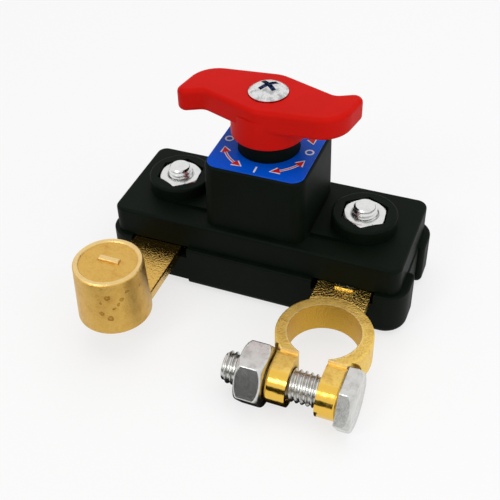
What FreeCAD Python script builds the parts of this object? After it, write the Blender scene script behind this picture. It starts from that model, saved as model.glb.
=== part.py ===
# Battery terminal disconnect switch, in millimetres.
# +X runs along the housing, +Y towards its back, +Z up. The origin is the middle of the housing's
# flat underside, on the axis that the knob turns about. The knob is at rest along X, which is off.
import FreeCAD, Part
import math
import os

import Sketcher
from FreeCAD import Placement, Rotation, Vector

# Every size that can be set by itself: its name, its value and what it is.
SIZES = (
    # Upper housing
    ("end_ledge", 1.9, "lower housing beyond the upper one, at each end"),
    ("side_ledge", 1.3, "lower housing beyond the upper one, at front and back"),
    ("cover_height", 7.4, "upper housing from the joint line to its top"),
    ("cover_corner", 2.6, "upright corners of the upper housing"),
    ("cover_edge", 0.8, "rounding of the upper housing's top edge"),
    ("cover_wall", 2.2, "side wall of the upper housing"),
    ("cover_roof", 2.4, "top wall of the upper housing"),
    ("tower_side", 25.0, "square tower at its foot"),
    ("tower_height", 17.1, "tower above the upper housing's top"),
    ("tower_corner", 3.0, "upright corners of the tower"),
    ("tower_edge", 0.8, "rounding of the tower's top edge"),
    ("tower_draft", 0.7, "draft of the tower's sides, degrees"),
    ("tower_roof", 2.5, "top wall of the tower"),
    ("collar_radius", 7.3, "bearing collar that stands on the tower"),
    ("collar_height", 5.6, "bearing collar above the tower"),
    ("collar_edge", 0.4, "rounding of the collar's top edge"),
    ("boss_radius", 7.9, "round boss about each housing bolt"),
    ("boss_height", 3.9, "boss above the upper housing's top"),
    ("boss_edge", 0.6, "rounding of the boss's rim"),
    ("step_height", 0.8, "low step between boss and tower"),
    ("step_gap", 0.6, "from the tower to the low step"),
    ("pillar_radius", 6.0, "pillar that presses on the bracket"),
    # Lower housing
    ("base_length", 76.8, "lower housing over its end lobes"),
    ("base_width", 30.8, "lower housing along Y"),
    ("base_height", 11.8, "lower housing up to the joint line"),
    ("base_corner", 5.5, "upright corners of the lower housing"),
    ("base_edge", 2.0, "rounding of the bottom edge"),
    ("base_rim", 0.5, "rounding of the upper rim"),
    ("base_wall", 3.2, "side wall of the lower housing"),
    ("base_floor", 2.4, "floor of the lower housing"),
    ("end_recess", 1.5, "depth of the recess between two end lobes"),
    ("end_recess_width", 9.0, "width of that recess"),
    ("lobe_edge", 1.2, "rounding of the lobes beside the recess"),
    ("seat_radius", 9.0, "boss under each bracket"),
    ("counterbore_radius", 6.9, "pocket for a bolt head and its washer"),
    ("foot_notch_height", 2.0, "notch in the bottom edge under each bracket"),
    ("foot_notch_depth", 2.2, "how far that notch goes in"),
    ("rib_thickness", 2.0, "rib under each bracket's tongue"),
    ("slot_side", 0.5, "gap between a bracket and the outer side of its slot"),
    ("slot_inner", 1.6, "gap between a bracket and the inner side of its slot"),
    # Housing bolts, M6
    ("bolt_inset", 14.4, "housing bolts from the lower housing's ends"),
    ("bolt_radius", 2.95, "housing bolt"),
    ("bolt_hole", 3.25, "hole for a housing bolt"),
    ("bolt_flats", 10.0, "across the flats of bolt head and nut"),
    ("bolt_head", 4.0, "height of the bolt head"),
    ("bolt_grip", 2.8, "floor that each bolt clamps"),
    ("bolt_stand", 2.1, "bolt end above its boss"),
    ("nut_height", 5.0, "nut of a housing bolt"),
    ("nut_sink", 0.1, "nut top below the boss's rim"),
    ("nut_play", 0.2, "gap at each flat of the nut"),
    ("nut_turn", 36.0, "turn of the housing nuts, degrees"),
    ("washer_radius", 6.0, "washer of a housing bolt"),
    ("washer_thickness", 1.2, "washer of a housing bolt"),
    ("thread_play", 0.05, "radial gap between a screw and its thread"),
    ("thread_mouth", 0.5, "bevel at both ends of a nut's thread"),
    # Brackets, one brass casting each
    ("strip_width", 13.0, "flat strip that leaves the housing"),
    ("strip_thickness", 2.4, "flat strip"),
    ("strip_gap", 0.2, "strip's top below the joint line"),
    ("strip_outset", 0.6, "post bracket's strip outside its bolt"),
    ("strip_edge", 0.35, "softened long edges of the post bracket's strip"),
    ("tongue_width", 9.0, "inner tongue that carries the fixed contact"),
    ("tongue_tip", 2.6, "tongue past the middle of its contact"),
    ("post_outset", 1.15, "post outside its bolt"),
    ("post_reach", 36.9, "post in front of the knob's axis"),
    ("post_radius_top", 8.1, "tapered post at its top"),
    ("post_radius_foot", 8.7, "tapered post at its foot"),
    ("post_height", 14.5, "post from the strip's underside"),
    ("post_edge", 0.35, "bevel of the post's top edge"),
    ("post_rim", 0.8, "rim about the post's sunk top"),
    ("post_sink", 0.25, "depth of the post's sunk top"),
    ("mark_length", 5.2, "raised bar that marks the pole"),
    ("mark_width", 1.5, "raised bar that marks the pole"),
    ("mark_height", 0.5, "the same bar above the post's sunk top"),
    ("mark_edge", 0.3, "rounding of the same bar"),
    ("mark_offset", 0.7, "raised bar behind the post's middle"),
    ("ring_reach", 30.0, "clamp ring in front of the knob's axis"),
    ("ring_bore", 8.25, "radius of the clamp ring's bore"),
    ("ring_wall", 2.8, "wall of the clamp ring"),
    ("ring_height", 7.5, "height of the clamp ring"),
    ("ring_rise", 0.25, "clamp ring's top above the strip"),
    ("ring_edge", 0.5, "softened edges of the clamp ring"),
    ("ear_gap", 6.7, "gap between the two ears"),
    ("ear_thickness", 4.9, "each ear along the clamp bolt"),
    ("ear_radius", 5.25, "round end of each ear"),
    ("ear_drop", 0.3, "ears' top below the ring's top"),
    ("ear_edge", 0.9, "softened outer edges of the ears"),
    ("lip_reach", 8.0, "end of the ring's top in front of the ring's middle"),
    ("lip_height", 0.75, "groove below the ring's top, in front of its end"),
    ("lip_run", 1.4, "the same groove along Y"),
    ("rest_bar_width", 4.4, "small raised bar on the clamp bracket's strip"),
    ("rest_bar_depth", 1.1, "the same bar along Y"),
    ("rest_bar_height", 0.4, "the same bar above the strip"),
    ("rest_bar_gap", 0.2, "from the housing's front to the same bar"),
    # Clamp bolt, M8
    ("clamp_reach", 12.4, "clamp bolt in front of the ring's middle"),
    ("clamp_radius", 3.75, "clamp bolt"),
    ("clamp_play", 0.25, "radial gap of the clamp bolt in the ears"),
    ("clamp_flats", 13.2, "across the flats of head and nut"),
    ("spot_play", 0.3, "spot face in the ring's side, about head and nut"),
    ("clamp_head", 3.4, "height of the clamp bolt's head"),
    ("clamp_nut_height", 6.3, "clamp nut"),
    ("clamp_nut_gap", 0.2, "clamp nut from the ear"),
    ("clamp_end", 4.1, "clamp bolt beyond its nut"),
    ("clamp_turn", 27.4, "turn of the clamp bolt's head and nut, degrees"),
    ("hex_bevel", 0.6, "bevel height at the corners of nuts and heads"),
    # Rotor
    ("journal_radius", 5.2, "rotor in the collar's bore"),
    ("barrel_radius", 9.5, "rotor's detent barrel"),
    ("hub_radius", 7.0, "rotor's hub over the spring"),
    ("hub_height", 3.5, "rotor's hub"),
    ("stem_radius", 3.4, "rotor's lower stem"),
    ("stem_flat", 2.9, "flats of the lower stem, from its axis"),
    ("tail_radius", 2.5, "rotor's tail in the lower bearing"),
    ("tail_length", 3.6, "rotor's tail"),
    ("tail_rise", 2.1, "lower bearing's top below the contacts"),
    ("bearing_radius", 4.6, "outside of the lower bearing"),
    ("drive_side", 7.0, "square that turns the knob"),
    ("drive_height", 5.0, "the same square"),
    ("shoulder_rise", 0.6, "rotor's shoulder above the collar"),
    ("running_gap", 0.05, "radial running clearance"),
    ("end_gap", 0.1, "axial running clearance"),
    ("chamber_gap", 0.7, "detent barrel to the tower's wall"),
    ("detent_depth", 0.3, "depth of a detent groove"),
    ("seal_section", 0.7, "half the side of the square seal ring's section"),
    ("seal_drop", 3.4, "middle of the seal below the collar's top"),
    # Contacts
    ("contact_x", 9.2, "fixed contacts from the knob's axis"),
    ("contact_radius", 2.5, "fixed contact"),
    ("contact_height", 0.6, "fixed contact above its tongue"),
    ("rivet_radius", 1.2, "rivet under a fixed contact"),
    ("contact_gap", 0.1, "bridge above the fixed contacts"),
    ("bridge_length", 22.4, "contact bridge"),
    ("bridge_width", 7.6, "contact bridge"),
    ("bridge_thickness", 2.0, "contact bridge"),
    ("bridge_corner", 2.4, "rounded ends of the contact bridge"),
    ("clip_radius", 4.6, "retaining clip"),
    ("clip_thickness", 0.7, "retaining clip"),
    ("clip_groove", 2.6, "radius of the clip's groove"),
    ("clip_mouth", 4.0, "opening of the retaining clip"),
    ("spring_height", 6.2, "contact spring as fitted"),
    ("spring_radius", 4.9, "contact spring's coil"),
    ("spring_wire", 0.5, "radius of the contact spring's wire"),
    ("spring_pitch", 1.7, "contact spring's pitch"),
    # Detent
    ("ball_radius", 1.5, "detent ball"),
    ("ball_play", 0.1, "ball in its pocket"),
    ("detent_spring_length", 2.6, "detent spring as fitted"),
    ("detent_wire", 0.22, "radius of the detent spring's wire"),
    ("detent_pitch", 0.8, "detent spring's pitch"),
    # Knob
    ("knob_overlap", 0.9, "knob's stem below the collar's top"),
    ("knob_stem_radius", 8.85, "knob's stem"),
    ("knob_stem_edge", 0.5, "rounding at the stem's foot"),
    ("knob_recess_play", 0.3, "knob's recess about the collar"),
    ("wing_rise", 3.0, "wings' underside above the rotor's shoulder"),
    ("wing_thickness", 5.7, "thickness of the wings"),
    ("wing_edge", 1.2, "rounding of the wings' edges"),
    ("tip_x", 21.4, "corner of the wing's hooked tip"),
    ("tip_y", 7.3, "the same corner"),
    ("tip_round", 2.0, "rounding of that corner"),
    ("shoulder_x", 18.9, "corner of the wing's blunt shoulder"),
    ("shoulder_y", 6.8, "the same corner"),
    ("shoulder_round", 7.4, "rounding of that corner"),
    ("waist_x", 0.5, "corner at the knob's waist"),
    ("waist_y", 8.9, "the same corner"),
    ("waist_round", 7.4, "rounding of that corner"),
    ("dip_x", 14.5, "hollow behind the hooked tip"),
    ("dip_y", 3.9, "the same hollow"),
    ("dip_round", 2.6, "rounding of that hollow"),
    # Knob screw, M5
    ("screw_radius", 2.45, "knob screw"),
    ("screw_length", 10.0, "knob screw under its head"),
    ("screw_hole", 2.7, "hole in the knob"),
    ("screw_head_radius", 4.6, "knob screw's head"),
    ("screw_head_height", 2.2, "knob screw's head"),
    ("screw_dome", 7.1, "radius of the head's dome"),
    ("screw_sink", 0.2, "head's seat below the knob's top"),
    ("cross_width", 1.15, "slots of the cross recess"),
    ("cross_length", 4.8, "slots of the cross recess"),
    ("cross_depth", 1.3, "slots of the cross recess"),
    ("cross_turn", 52.0, "turn of the cross recess, degrees"),
    # Label
    ("label_side", 23.6, "label plate"),
    ("label_corner", 2.8, "corners of the label plate"),
    ("label_thickness", 0.4, "label plate"),
    ("label_play", 0.1, "label plate's hole about the collar"),
)

QUARTER_TURNS = 4
HEX_CORNERS = 6
# Radius of a hexagon's round end face, and of a circle outside its corners, by its flats
FACE_SHARE = 0.475
CORNER_SHARE = 0.6
# Straight runs in a turn of a spring, and sides of its wire
TURN_RUNS = 20
WIRE_SIDES = 6


class Size:
    """A length that knows its present value and the formula that ties it to the sheet."""

    def __init__(self, value, formula):
        self.value = value
        self.formula = formula

    def __float__(self):
        return float(self.value)

    def __add__(self, other):
        return Size(float(self) + float(other), f"({self.formula} + {words(other)})")

    def __sub__(self, other):
        return Size(float(self) - float(other), f"({self.formula} - {words(other)})")

    def __mul__(self, factor):
        return Size(float(self) * float(factor), f"({self.formula} * {words(factor)})")

    def __truediv__(self, divisor):
        return Size(float(self) / float(divisor), f"({self.formula} / {words(divisor)})")

    def __neg__(self):
        return Size(-float(self), f"(-1 * {self.formula})")


def words(number):
    """A size or a plain number as it is written in a formula."""
    if isinstance(number, Size):
        return number.formula
    return repr(float(number))


class Named:
    """Sizes reached by their names."""


doc = FreeCAD.newDocument("disconnect_switch")
sheet = doc.addObject("Spreadsheet::Sheet", "sizes")
s = Named()
for row, (alias, value, note) in enumerate(SIZES, start=1):
    sheet.set(f"A{row}", alias)
    sheet.set(f"B{row}", str(value))
    sheet.setAlias(f"B{row}", alias)
    sheet.set(f"C{row}", note)
    setattr(s, alias, Size(value, f"sizes.{alias}"))
doc.recompute()

# Heights, from the underside up
z = Named()
z.split = s.base_height
z.cover_top = z.split + s.cover_height
z.cover_ceiling = z.cover_top - s.cover_roof
z.tower_top = z.cover_top + s.tower_height
z.chamber_top = z.tower_top - s.tower_roof
z.collar_top = z.tower_top + s.collar_height
z.boss_top = z.cover_top + s.boss_height
z.nut_seat = z.boss_top - s.nut_sink - s.nut_height
z.strip_top = z.split - s.strip_gap
z.strip_under = z.strip_top - s.strip_thickness
z.bolt_seat = z.strip_under - s.bolt_grip
z.contact_top = z.strip_top + s.contact_height
z.bridge_under = z.contact_top + s.contact_gap
z.bridge_top = z.bridge_under + s.bridge_thickness
z.hub_under = z.bridge_top + s.spring_height
z.barrel_under = z.hub_under + s.hub_height
z.barrel_top = z.chamber_top - s.end_gap
z.bearing_top = z.contact_top - s.tail_rise
z.stem_under = z.bearing_top + s.end_gap
z.shoulder = z.collar_top + s.shoulder_rise
z.drive_top = z.shoulder + s.drive_height
z.knob_under = z.collar_top - s.knob_overlap
z.wing_under = z.shoulder + s.wing_rise
z.knob_top = z.wing_under + s.wing_thickness
z.screw_seat = z.knob_top - s.screw_sink
z.screw_end = z.screw_seat - s.screw_length
z.seal = z.collar_top - s.seal_drop
z.detent = (z.barrel_under + z.barrel_top) / 2
z.ring_top = z.strip_top + s.ring_rise
z.ring_under = z.ring_top - s.ring_height
z.ear_axis = z.ring_top - s.ear_drop - s.ear_radius
z.post_top = z.strip_under + s.post_height

# Places in plan
cover_length = s.base_length - s.end_ledge * 2
cover_width = s.base_width - s.side_ledge * 2
bolt_x = s.base_length / 2 - s.bolt_inset
chamber_radius = s.barrel_radius + s.chamber_gap
journal_bore = s.journal_radius + s.running_gap
ball_centre = s.barrel_radius + s.running_gap + s.ball_radius
pocket_end = ball_centre + s.ball_radius + s.detent_spring_length + s.ball_play
post_strip_x = -(bolt_x + s.strip_outset)
post_x = -(bolt_x + s.post_outset)
post_y = -s.post_reach
ring_y = -s.ring_reach
clamp_y = ring_y - s.clamp_reach
lip_y = ring_y - s.lip_reach
ear_outer = s.ear_gap / 2 + s.ear_thickness
diagonal = math.sqrt(0.5)


def bind(item, path, size):
    """Ties a property to the sheet, or sets it where it is a plain number."""
    item.setExpression(path, words(size))


def new_body(label):
    body = doc.addObject("PartDesign::Body", f"{label}_body")
    body.Label = label
    return body


def origin_plane(body, role):
    """One of the body's own origin planes or axes."""
    for feature in body.Origin.OriginFeatures:
        if feature.Role == role:
            return feature
    raise ValueError(f"{body.Label} has no {role}")


def sketch(body, name, offset=0.0, role="XY_Plane"):
    """A sketch on one of the body's own origin planes, or parallel to it."""
    drawing = body.newObject("Sketcher::SketchObject", name)
    drawing.AttachmentSupport = (origin_plane(body, role), [""])
    drawing.MapMode = "FlatFace"
    bind(drawing, "AttachmentOffset.Base.z", offset)
    return drawing


def hold(drawing, edge, point, x, y):
    """Holds a sketch point by its distances from the origin along both axes."""
    for kind, axis, distance in (("DistanceX", -2, x), ("DistanceY", -1, y)):
        if float(distance) == 0.0:
            drawing.addConstraint(Sketcher.Constraint("PointOnObject", edge, point, axis))
            continue
        rule = Sketcher.Constraint(kind, -1, 1, edge, point, float(distance))
        index = drawing.addConstraint(rule)
        bind(drawing, f"Constraints[{index}]", distance)


def outline(drawing, corners):
    """A closed outline of straight lines from corner to corner."""
    first = drawing.GeometryCount
    points = [Vector(float(x), float(y), 0) for x, y in corners]
    following = points[1:] + points[:1]
    for start, end in zip(points, following):
        drawing.addGeometry(Part.LineSegment(start, end), False)
    for index, (x, y) in enumerate(corners):
        after = (index + 1) % len(corners)
        rule = Sketcher.Constraint("Coincident", first + index, 2, first + after, 1)
        drawing.addConstraint(rule)
        hold(drawing, first + index, 1, x, y)
    return drawing


def rectangle(drawing, length, width, x=0.0, y=0.0):
    """A rectangle of a length along the sketch's x and a width along its y, about a middle."""
    right = length / 2
    back = width / 2
    low_x, high_x = shifted(-right, x), shifted(right, x)
    low_y, high_y = shifted(-back, y), shifted(back, y)
    return outline(drawing, [(low_x, low_y), (high_x, low_y), (high_x, high_y), (low_x, high_y)])


def shifted(size, shift):
    """A size moved by a shift, which may be the number nought."""
    return size + shift if isinstance(shift, Size) else size


def circle(drawing, radius, x=0.0, y=0.0):
    middle = Vector(float(x), float(y), 0)
    edge = drawing.addGeometry(Part.Circle(middle, Vector(0, 0, 1), float(radius)), False)
    hold(drawing, edge, 3, x, y)
    index = drawing.addConstraint(Sketcher.Constraint("Radius", edge, float(radius)))
    bind(drawing, f"Constraints[{index}]", radius)
    return drawing


def hexagon(drawing, flats, x=0.0, turn=0.0):
    """A hexagon by its width across the flats, with a corner at the given turn from x."""
    corner = flats / math.sqrt(3)
    corners = []
    for step in range(HEX_CORNERS):
        angle = math.radians(turn + step * 360 / HEX_CORNERS)
        across = corner * math.cos(angle)
        along = corner * math.sin(angle)
        corners.append((shifted(across, x), along))
    return outline(drawing, corners)


def double_flat(drawing, radius, flat):
    """A circle about the origin with two flats, each at the same distance from it."""
    reach = math.sqrt(float(radius) ** 2 - float(flat) ** 2)
    angle = math.asin(float(flat) / float(radius))
    round_part = Part.Circle(Vector(0, 0, 0), Vector(0, 0, 1), float(radius))
    right = Vector(reach, 0, 0)
    top = Vector(0, float(flat), 0)
    drawing.addGeometry(Part.ArcOfCircle(round_part, -angle, angle), False)
    drawing.addGeometry(Part.LineSegment(right + top, top - right), False)
    drawing.addGeometry(Part.ArcOfCircle(round_part, math.pi - angle, math.pi + angle), False)
    drawing.addGeometry(Part.LineSegment(-right - top, right - top), False)
    for edge in range(4):
        after = (edge + 1) % 4
        drawing.addConstraint(Sketcher.Constraint("Coincident", edge, 2, after, 1))
    for arc in (0, 2):
        drawing.addConstraint(Sketcher.Constraint("Coincident", arc, 3, -1, 1))
        index = drawing.addConstraint(Sketcher.Constraint("Radius", arc, float(radius)))
        bind(drawing, f"Constraints[{index}]", radius)
    for arc, point, height in ((0, 1, -flat), (0, 2, flat), (2, 1, flat), (2, 2, -flat)):
        rule = Sketcher.Constraint("DistanceY", -1, 1, arc, point, float(height))
        index = drawing.addConstraint(rule)
        bind(drawing, f"Constraints[{index}]", height)
    return drawing


def pad(body, name, drawing, height, down=False):
    feature = body.newObject("PartDesign::Pad", name)
    feature.Profile = drawing
    feature.Reversed = down
    bind(feature, "Length", height)
    return feature


def pocket(body, name, drawing, depth, up=False):
    """Cuts a sketch into the body, downwards unless it says up."""
    doc.recompute()
    before = body.Shape.Volume
    feature = body.newObject("PartDesign::Pocket", name)
    feature.Profile = drawing
    feature.Reversed = up
    bind(feature, "Length", depth)
    doc.recompute()
    if body.Shape.Volume >= before:
        raise ValueError(f"{name} cuts nothing")
    return feature


def revolve(body, name, drawing, kind="PartDesign::Revolution"):
    """Turns a sketch about its own upright axis, as a solid or, as a groove, out of one."""
    feature = body.newObject(kind, name)
    feature.Profile = drawing
    feature.ReferenceAxis = (drawing, ["V_Axis"])
    feature.Angle = 360.0
    return feature


def edges_where(shape, test):
    return [f"Edge{index}" for index, edge in enumerate(shape.Edges, start=1) if test(edge)]


def rounded(body, name, radius, test, kind="PartDesign::Fillet"):
    """Rounds, or bevels, the edges of the body's present shape that pass a test."""
    doc.recompute()
    base = body.Tip
    names = edges_where(base.Shape, test)
    if not names:
        raise ValueError(f"{name} finds no edge")
    feature = body.newObject(kind, name)
    feature.Base = (base, names)
    bind(feature, "Radius" if kind == "PartDesign::Fillet" else "Size", radius)
    doc.recompute()
    if "Invalid" in feature.State:
        raise ValueError(f"{name} of {body.Label} could not be made")
    return feature


def near(first, second, limit=1e-3):
    return abs(float(first) - float(second)) < limit


def level(height):
    """A test for edges that lie flat at a height."""

    def test(edge):
        box = edge.BoundBox
        return near(box.ZMin, height) and near(box.ZMax, height)

    return test


def spans(low, high):
    """A test for edges that run from one height to another."""

    def test(edge):
        box = edge.BoundBox
        return near(box.ZMin, low) and near(box.ZMax, high)

    return test


def place(item, x=0.0, y=0.0, height=0.0):
    """Sets where a piece stands, tied to the sheet."""
    for path, size in (("x", x), ("y", y), ("z", height)):
        if isinstance(size, Size):
            bind(item, f"Placement.Base.{path}", size)


def primitive(kind, name, **sizes):
    """A Part primitive whose named properties are tied to sizes."""
    item = doc.addObject(f"Part::{kind}", name)
    for path, size in sizes.items():
        bind(item, path, size)
    return item


def cut(label, base, tool):
    item = doc.addObject("Part::Cut", label)
    item.Base = base
    item.Tool = tool
    return item


def upper_housing():
    body = new_body("upper_housing")
    plan = rectangle(sketch(body, "cover_plan", z.split), cover_length, cover_width)
    pad(body, "cover_block", plan, s.cover_height)
    rounded(body, "cover_corners", s.cover_corner, spans(z.split, z.cover_top))
    rounded(body, "cover_top_edge", s.cover_edge, level(z.cover_top))

    plan = rectangle(sketch(body, "tower_plan", z.cover_top), s.tower_side, s.tower_side)
    tower = pad(body, "tower", plan, s.tower_height)
    bind(tower, "TaperAngle", -s.tower_draft)
    rounded(body, "tower_corners", s.tower_corner, spans(z.cover_top, z.tower_top))
    rounded(body, "tower_top_edge", s.tower_edge, level(z.tower_top))
    plan = circle(sketch(body, "collar_plan", z.tower_top), s.collar_radius)
    pad(body, "collar", plan, s.collar_height)
    rounded(body, "collar_rim", s.collar_edge, level(z.collar_top))

    step_start = s.tower_side / 2 + s.step_gap
    step_length = bolt_x - step_start
    plan = sketch(body, "step_plan", z.cover_top)
    for side in (-1, 1):
        middle = (step_start + step_length / 2) * side
        rectangle(plan, step_length, s.boss_radius * 2, middle)
    pad(body, "steps", plan, s.step_height)
    plan = sketch(body, "boss_plan", z.cover_top)
    for side in (-1, 1):
        circle(plan, s.boss_radius, bolt_x * side)
    pad(body, "bosses", plan, s.boss_height)
    rounded(body, "boss_rims", s.boss_edge, level(z.boss_top))

    inner_length = cover_length - s.cover_wall * 2
    inner_width = cover_width - s.cover_wall * 2
    plan = rectangle(sketch(body, "hollow_plan", z.split), inner_length, inner_width)
    pocket(body, "hollow", plan, z.cover_ceiling - z.split, up=True)
    plan = circle(sketch(body, "chamber_plan", z.split), chamber_radius)
    pocket(body, "chamber", plan, z.chamber_top - z.split, up=True)
    plan = circle(sketch(body, "journal_bore_plan", z.collar_top), journal_bore)
    pocket(body, "journal_bore", plan, z.collar_top - z.chamber_top)

    plan = sketch(body, "pillar_plan", z.cover_top - s.cover_roof / 2)
    for side in (-1, 1):
        circle(plan, s.pillar_radius, bolt_x * side)
    pad(body, "pillars", plan, z.cover_top - s.cover_roof / 2 - z.strip_top, down=True)
    plan = sketch(body, "nut_recess_plan", z.boss_top)
    for side in (-1, 1):
        hexagon(plan, s.bolt_flats + s.nut_play * 2, bolt_x * side, turn=float(s.nut_turn))
    pocket(body, "nut_recesses", plan, s.nut_height + s.nut_sink)
    plan = sketch(body, "bolt_hole_plan", z.boss_top)
    for side in (-1, 1):
        circle(plan, s.bolt_hole, bolt_x * side)
    pocket(body, "bolt_holes", plan, z.boss_top - z.strip_top)

    for number, angle in enumerate((45.0, 225.0), start=1):
        detent_pocket(body, f"detent_pocket_{number}", angle)
    return body


def detent_pocket(body, name, angle):
    """A round pocket that runs outwards from the chamber on a diagonal of the tower."""
    start = s.barrel_radius
    feature = body.newObject("PartDesign::SubtractiveCylinder", name)
    feature.AttachmentSupport = (origin_plane(body, "XY_Plane"), [""])
    feature.MapMode = "FlatFace"
    feature.AttachmentOffset = Placement(Vector(0, 0, 0), outwards(angle))
    turn = math.radians(angle)
    bind(feature, "AttachmentOffset.Base.x", start * math.cos(turn))
    bind(feature, "AttachmentOffset.Base.y", start * math.sin(turn))
    bind(feature, "AttachmentOffset.Base.z", z.detent)
    bind(feature, "Radius", s.ball_radius + s.ball_play)
    bind(feature, "Height", pocket_end - start)


def outwards(angle):
    """The turn that lays an upright piece down along a direction in plan."""
    return Rotation(Vector(0, 0, 1), angle) * Rotation(Vector(0, 1, 0), 90)


def lower_housing():
    body = new_body("lower_housing")
    plan = rectangle(sketch(body, "base_plan"), s.base_length, s.base_width)
    pad(body, "base_block", plan, s.base_height)
    rounded(body, "base_corners", s.base_corner, spans(0, z.split))
    plan = sketch(body, "end_recess_plan", z.split)
    for side in (-1, 1):
        middle = (s.base_length / 2) * side
        rectangle(plan, s.end_recess * 2, s.end_recess_width, middle)
    pocket(body, "end_recesses", plan, s.base_height)

    def lobe_corner(edge):
        box = edge.BoundBox
        upright = near(box.ZMin, 0) and near(box.ZMax, z.split)
        at_recess = near(abs(box.YMin), s.end_recess_width / 2) and near(box.YMin, box.YMax)
        return upright and at_recess and near(abs(box.XMin), s.base_length / 2)

    rounded(body, "lobe_corners", s.lobe_edge, lobe_corner)
    rounded(body, "base_bottom_edge", s.base_edge, level(0))
    rounded(body, "base_rim_edge", s.base_rim, level(z.split))

    inner_length = s.base_length - s.end_recess * 2 - s.base_wall * 2
    inner_width = s.base_width - s.base_wall * 2
    plan = rectangle(sketch(body, "tray_plan", z.split), inner_length, inner_width)
    pocket(body, "tray", plan, z.split - s.base_floor)
    plan = sketch(body, "seat_plan")
    for side in (-1, 1):
        circle(plan, s.seat_radius, bolt_x * side)
    pad(body, "seats", plan, z.strip_under)
    plan = sketch(body, "rib_plan", s.base_floor / 2)
    rectangle(plan, (bolt_x - s.seat_radius / 2) * 2, s.rib_thickness)
    pad(body, "rib", plan, z.strip_under - s.base_floor / 2)
    plan = circle(sketch(body, "bearing_plan", s.base_floor / 2), s.bearing_radius)
    pad(body, "bearing", plan, z.bearing_top - s.base_floor / 2)

    plan = sketch(body, "slot_plan", z.split)
    left_outer = post_strip_x - s.strip_width / 2 - s.slot_side
    left_inner = post_strip_x + s.strip_width / 2 + s.slot_inner
    right_inner = bolt_x - s.strip_width / 2 - s.slot_inner
    right_outer = bolt_x + s.strip_width / 2 + s.slot_side
    middle_y = -s.base_width / 2
    for start, end in ((left_outer, left_inner), (right_inner, right_outer)):
        rectangle(plan, end - start, s.base_wall * 2 + s.strip_gap, (start + end) / 2, middle_y)
    pocket(body, "strip_slots", plan, z.split - z.strip_under)
    plan = sketch(body, "foot_notch_plan", s.foot_notch_height)
    for start, end in ((left_outer, left_inner), (right_inner, right_outer)):
        rectangle(plan, end - start, s.foot_notch_depth * 2, (start + end) / 2, middle_y)
    pocket(body, "foot_notches", plan, s.foot_notch_height)

    plan = sketch(body, "counterbore_plan", z.bolt_seat)
    for side in (-1, 1):
        circle(plan, s.counterbore_radius, bolt_x * side)
    pocket(body, "counterbores", plan, z.bolt_seat)
    plan = sketch(body, "clamped_hole_plan", z.strip_under)
    for side in (-1, 1):
        circle(plan, s.bolt_hole, bolt_x * side)
    pocket(body, "clamped_holes", plan, s.bolt_grip)
    plan = circle(sketch(body, "tail_bore_plan", z.bearing_top), s.tail_radius + s.running_gap)
    pocket(body, "tail_bore", plan, s.tail_length + s.end_gap)
    return body


def label_plate():
    body = new_body("label_plate")
    plan = rectangle(sketch(body, "label_plan", z.tower_top), s.label_side, s.label_side)
    circle(plan, s.collar_radius + s.label_play)
    pad(body, "label_sheet", plan, s.label_thickness)

    def outer_corner(edge):
        box = edge.BoundBox
        corner = near(abs(box.XMin), s.label_side / 2) and near(abs(box.YMin), s.label_side / 2)
        return corner and near(box.ZLength, s.label_thickness)

    rounded(body, "label_corners", s.label_corner, outer_corner)
    return body


def bracket_plate(body, strip_x, side, front_y):
    """The flat plate of a bracket: the strip, its round inner end and the contact's tongue."""
    half = s.strip_width / 2
    plan = sketch(body, "strip_plan", z.strip_under)
    outline(plan, [
        (strip_x - half, front_y),
        (strip_x + half, front_y),
        (strip_x + half, half),
        (strip_x - half, half),
    ])
    pad(body, "strip", plan, s.strip_thickness)

    def inner_corner(edge):
        return near(edge.BoundBox.YMin, half) and near(edge.BoundBox.ZLength, s.strip_thickness)

    rounded(body, "strip_end", half - s.strip_width / 8, inner_corner)
    tongue_end = (s.contact_x - s.tongue_tip) * side
    plan = sketch(body, "tongue_plan", z.strip_under)
    outline(plan, [
        (strip_x, -s.tongue_width / 2),
        (tongue_end, -s.tongue_width / 2),
        (tongue_end, s.tongue_width / 2),
        (strip_x, s.tongue_width / 2),
    ])
    pad(body, "tongue", plan, s.strip_thickness)


def bracket_holes(body, side):
    """The holes for the housing bolt and for the contact's rivet."""
    plan = circle(sketch(body, "bolt_clearance_plan", z.strip_top), s.bolt_hole, bolt_x * side)
    circle(plan, s.rivet_radius + s.running_gap, s.contact_x * side)
    pocket(body, "bolt_clearance", plan, s.strip_thickness)


def post_bracket():
    body = new_body("post_bracket")
    bracket_plate(body, post_strip_x, -1, post_y)

    def long_side(edge):
        box = edge.BoundBox
        return near(box.ZMin, z.strip_top) and near(box.XLength, 0) and box.YMin < -float(s.strip_width)

    rounded(body, "strip_sides", s.strip_edge, long_side)
    new_post(body)
    plan = sketch(body, "mark_plan", z.post_top - s.post_sink)
    rectangle(plan, s.mark_length, s.mark_width, post_x, post_y + s.mark_offset)
    pad(body, "pole_mark", plan, s.mark_height)
    rounded(body, "mark_edges", s.mark_edge, level(z.post_top - s.post_sink + s.mark_height))
    bracket_holes(body, -1)
    return body


def new_post(body):
    """The tapered post, turned about its own axis, with a sunk top inside a narrow rim."""
    drawing = body.newObject("Sketcher::SketchObject", "post_profile")
    drawing.AttachmentSupport = (origin_plane(body, "XZ_Plane"), [""])
    drawing.MapMode = "FlatFace"
    bind(drawing, "AttachmentOffset.Base.x", post_x)
    bind(drawing, "AttachmentOffset.Base.z", -post_y)
    rim_inner = s.post_radius_top - s.post_edge - s.post_rim
    outline(drawing, [
        (0.0, z.strip_under),
        (s.post_radius_foot, z.strip_under),
        (s.post_radius_top, z.post_top - s.post_edge),
        (s.post_radius_top - s.post_edge, z.post_top),
        (rim_inner, z.post_top),
        (rim_inner - s.post_sink, z.post_top - s.post_sink),
        (0.0, z.post_top - s.post_sink),
    ])
    revolve(body, "post", drawing)
    return body


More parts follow.
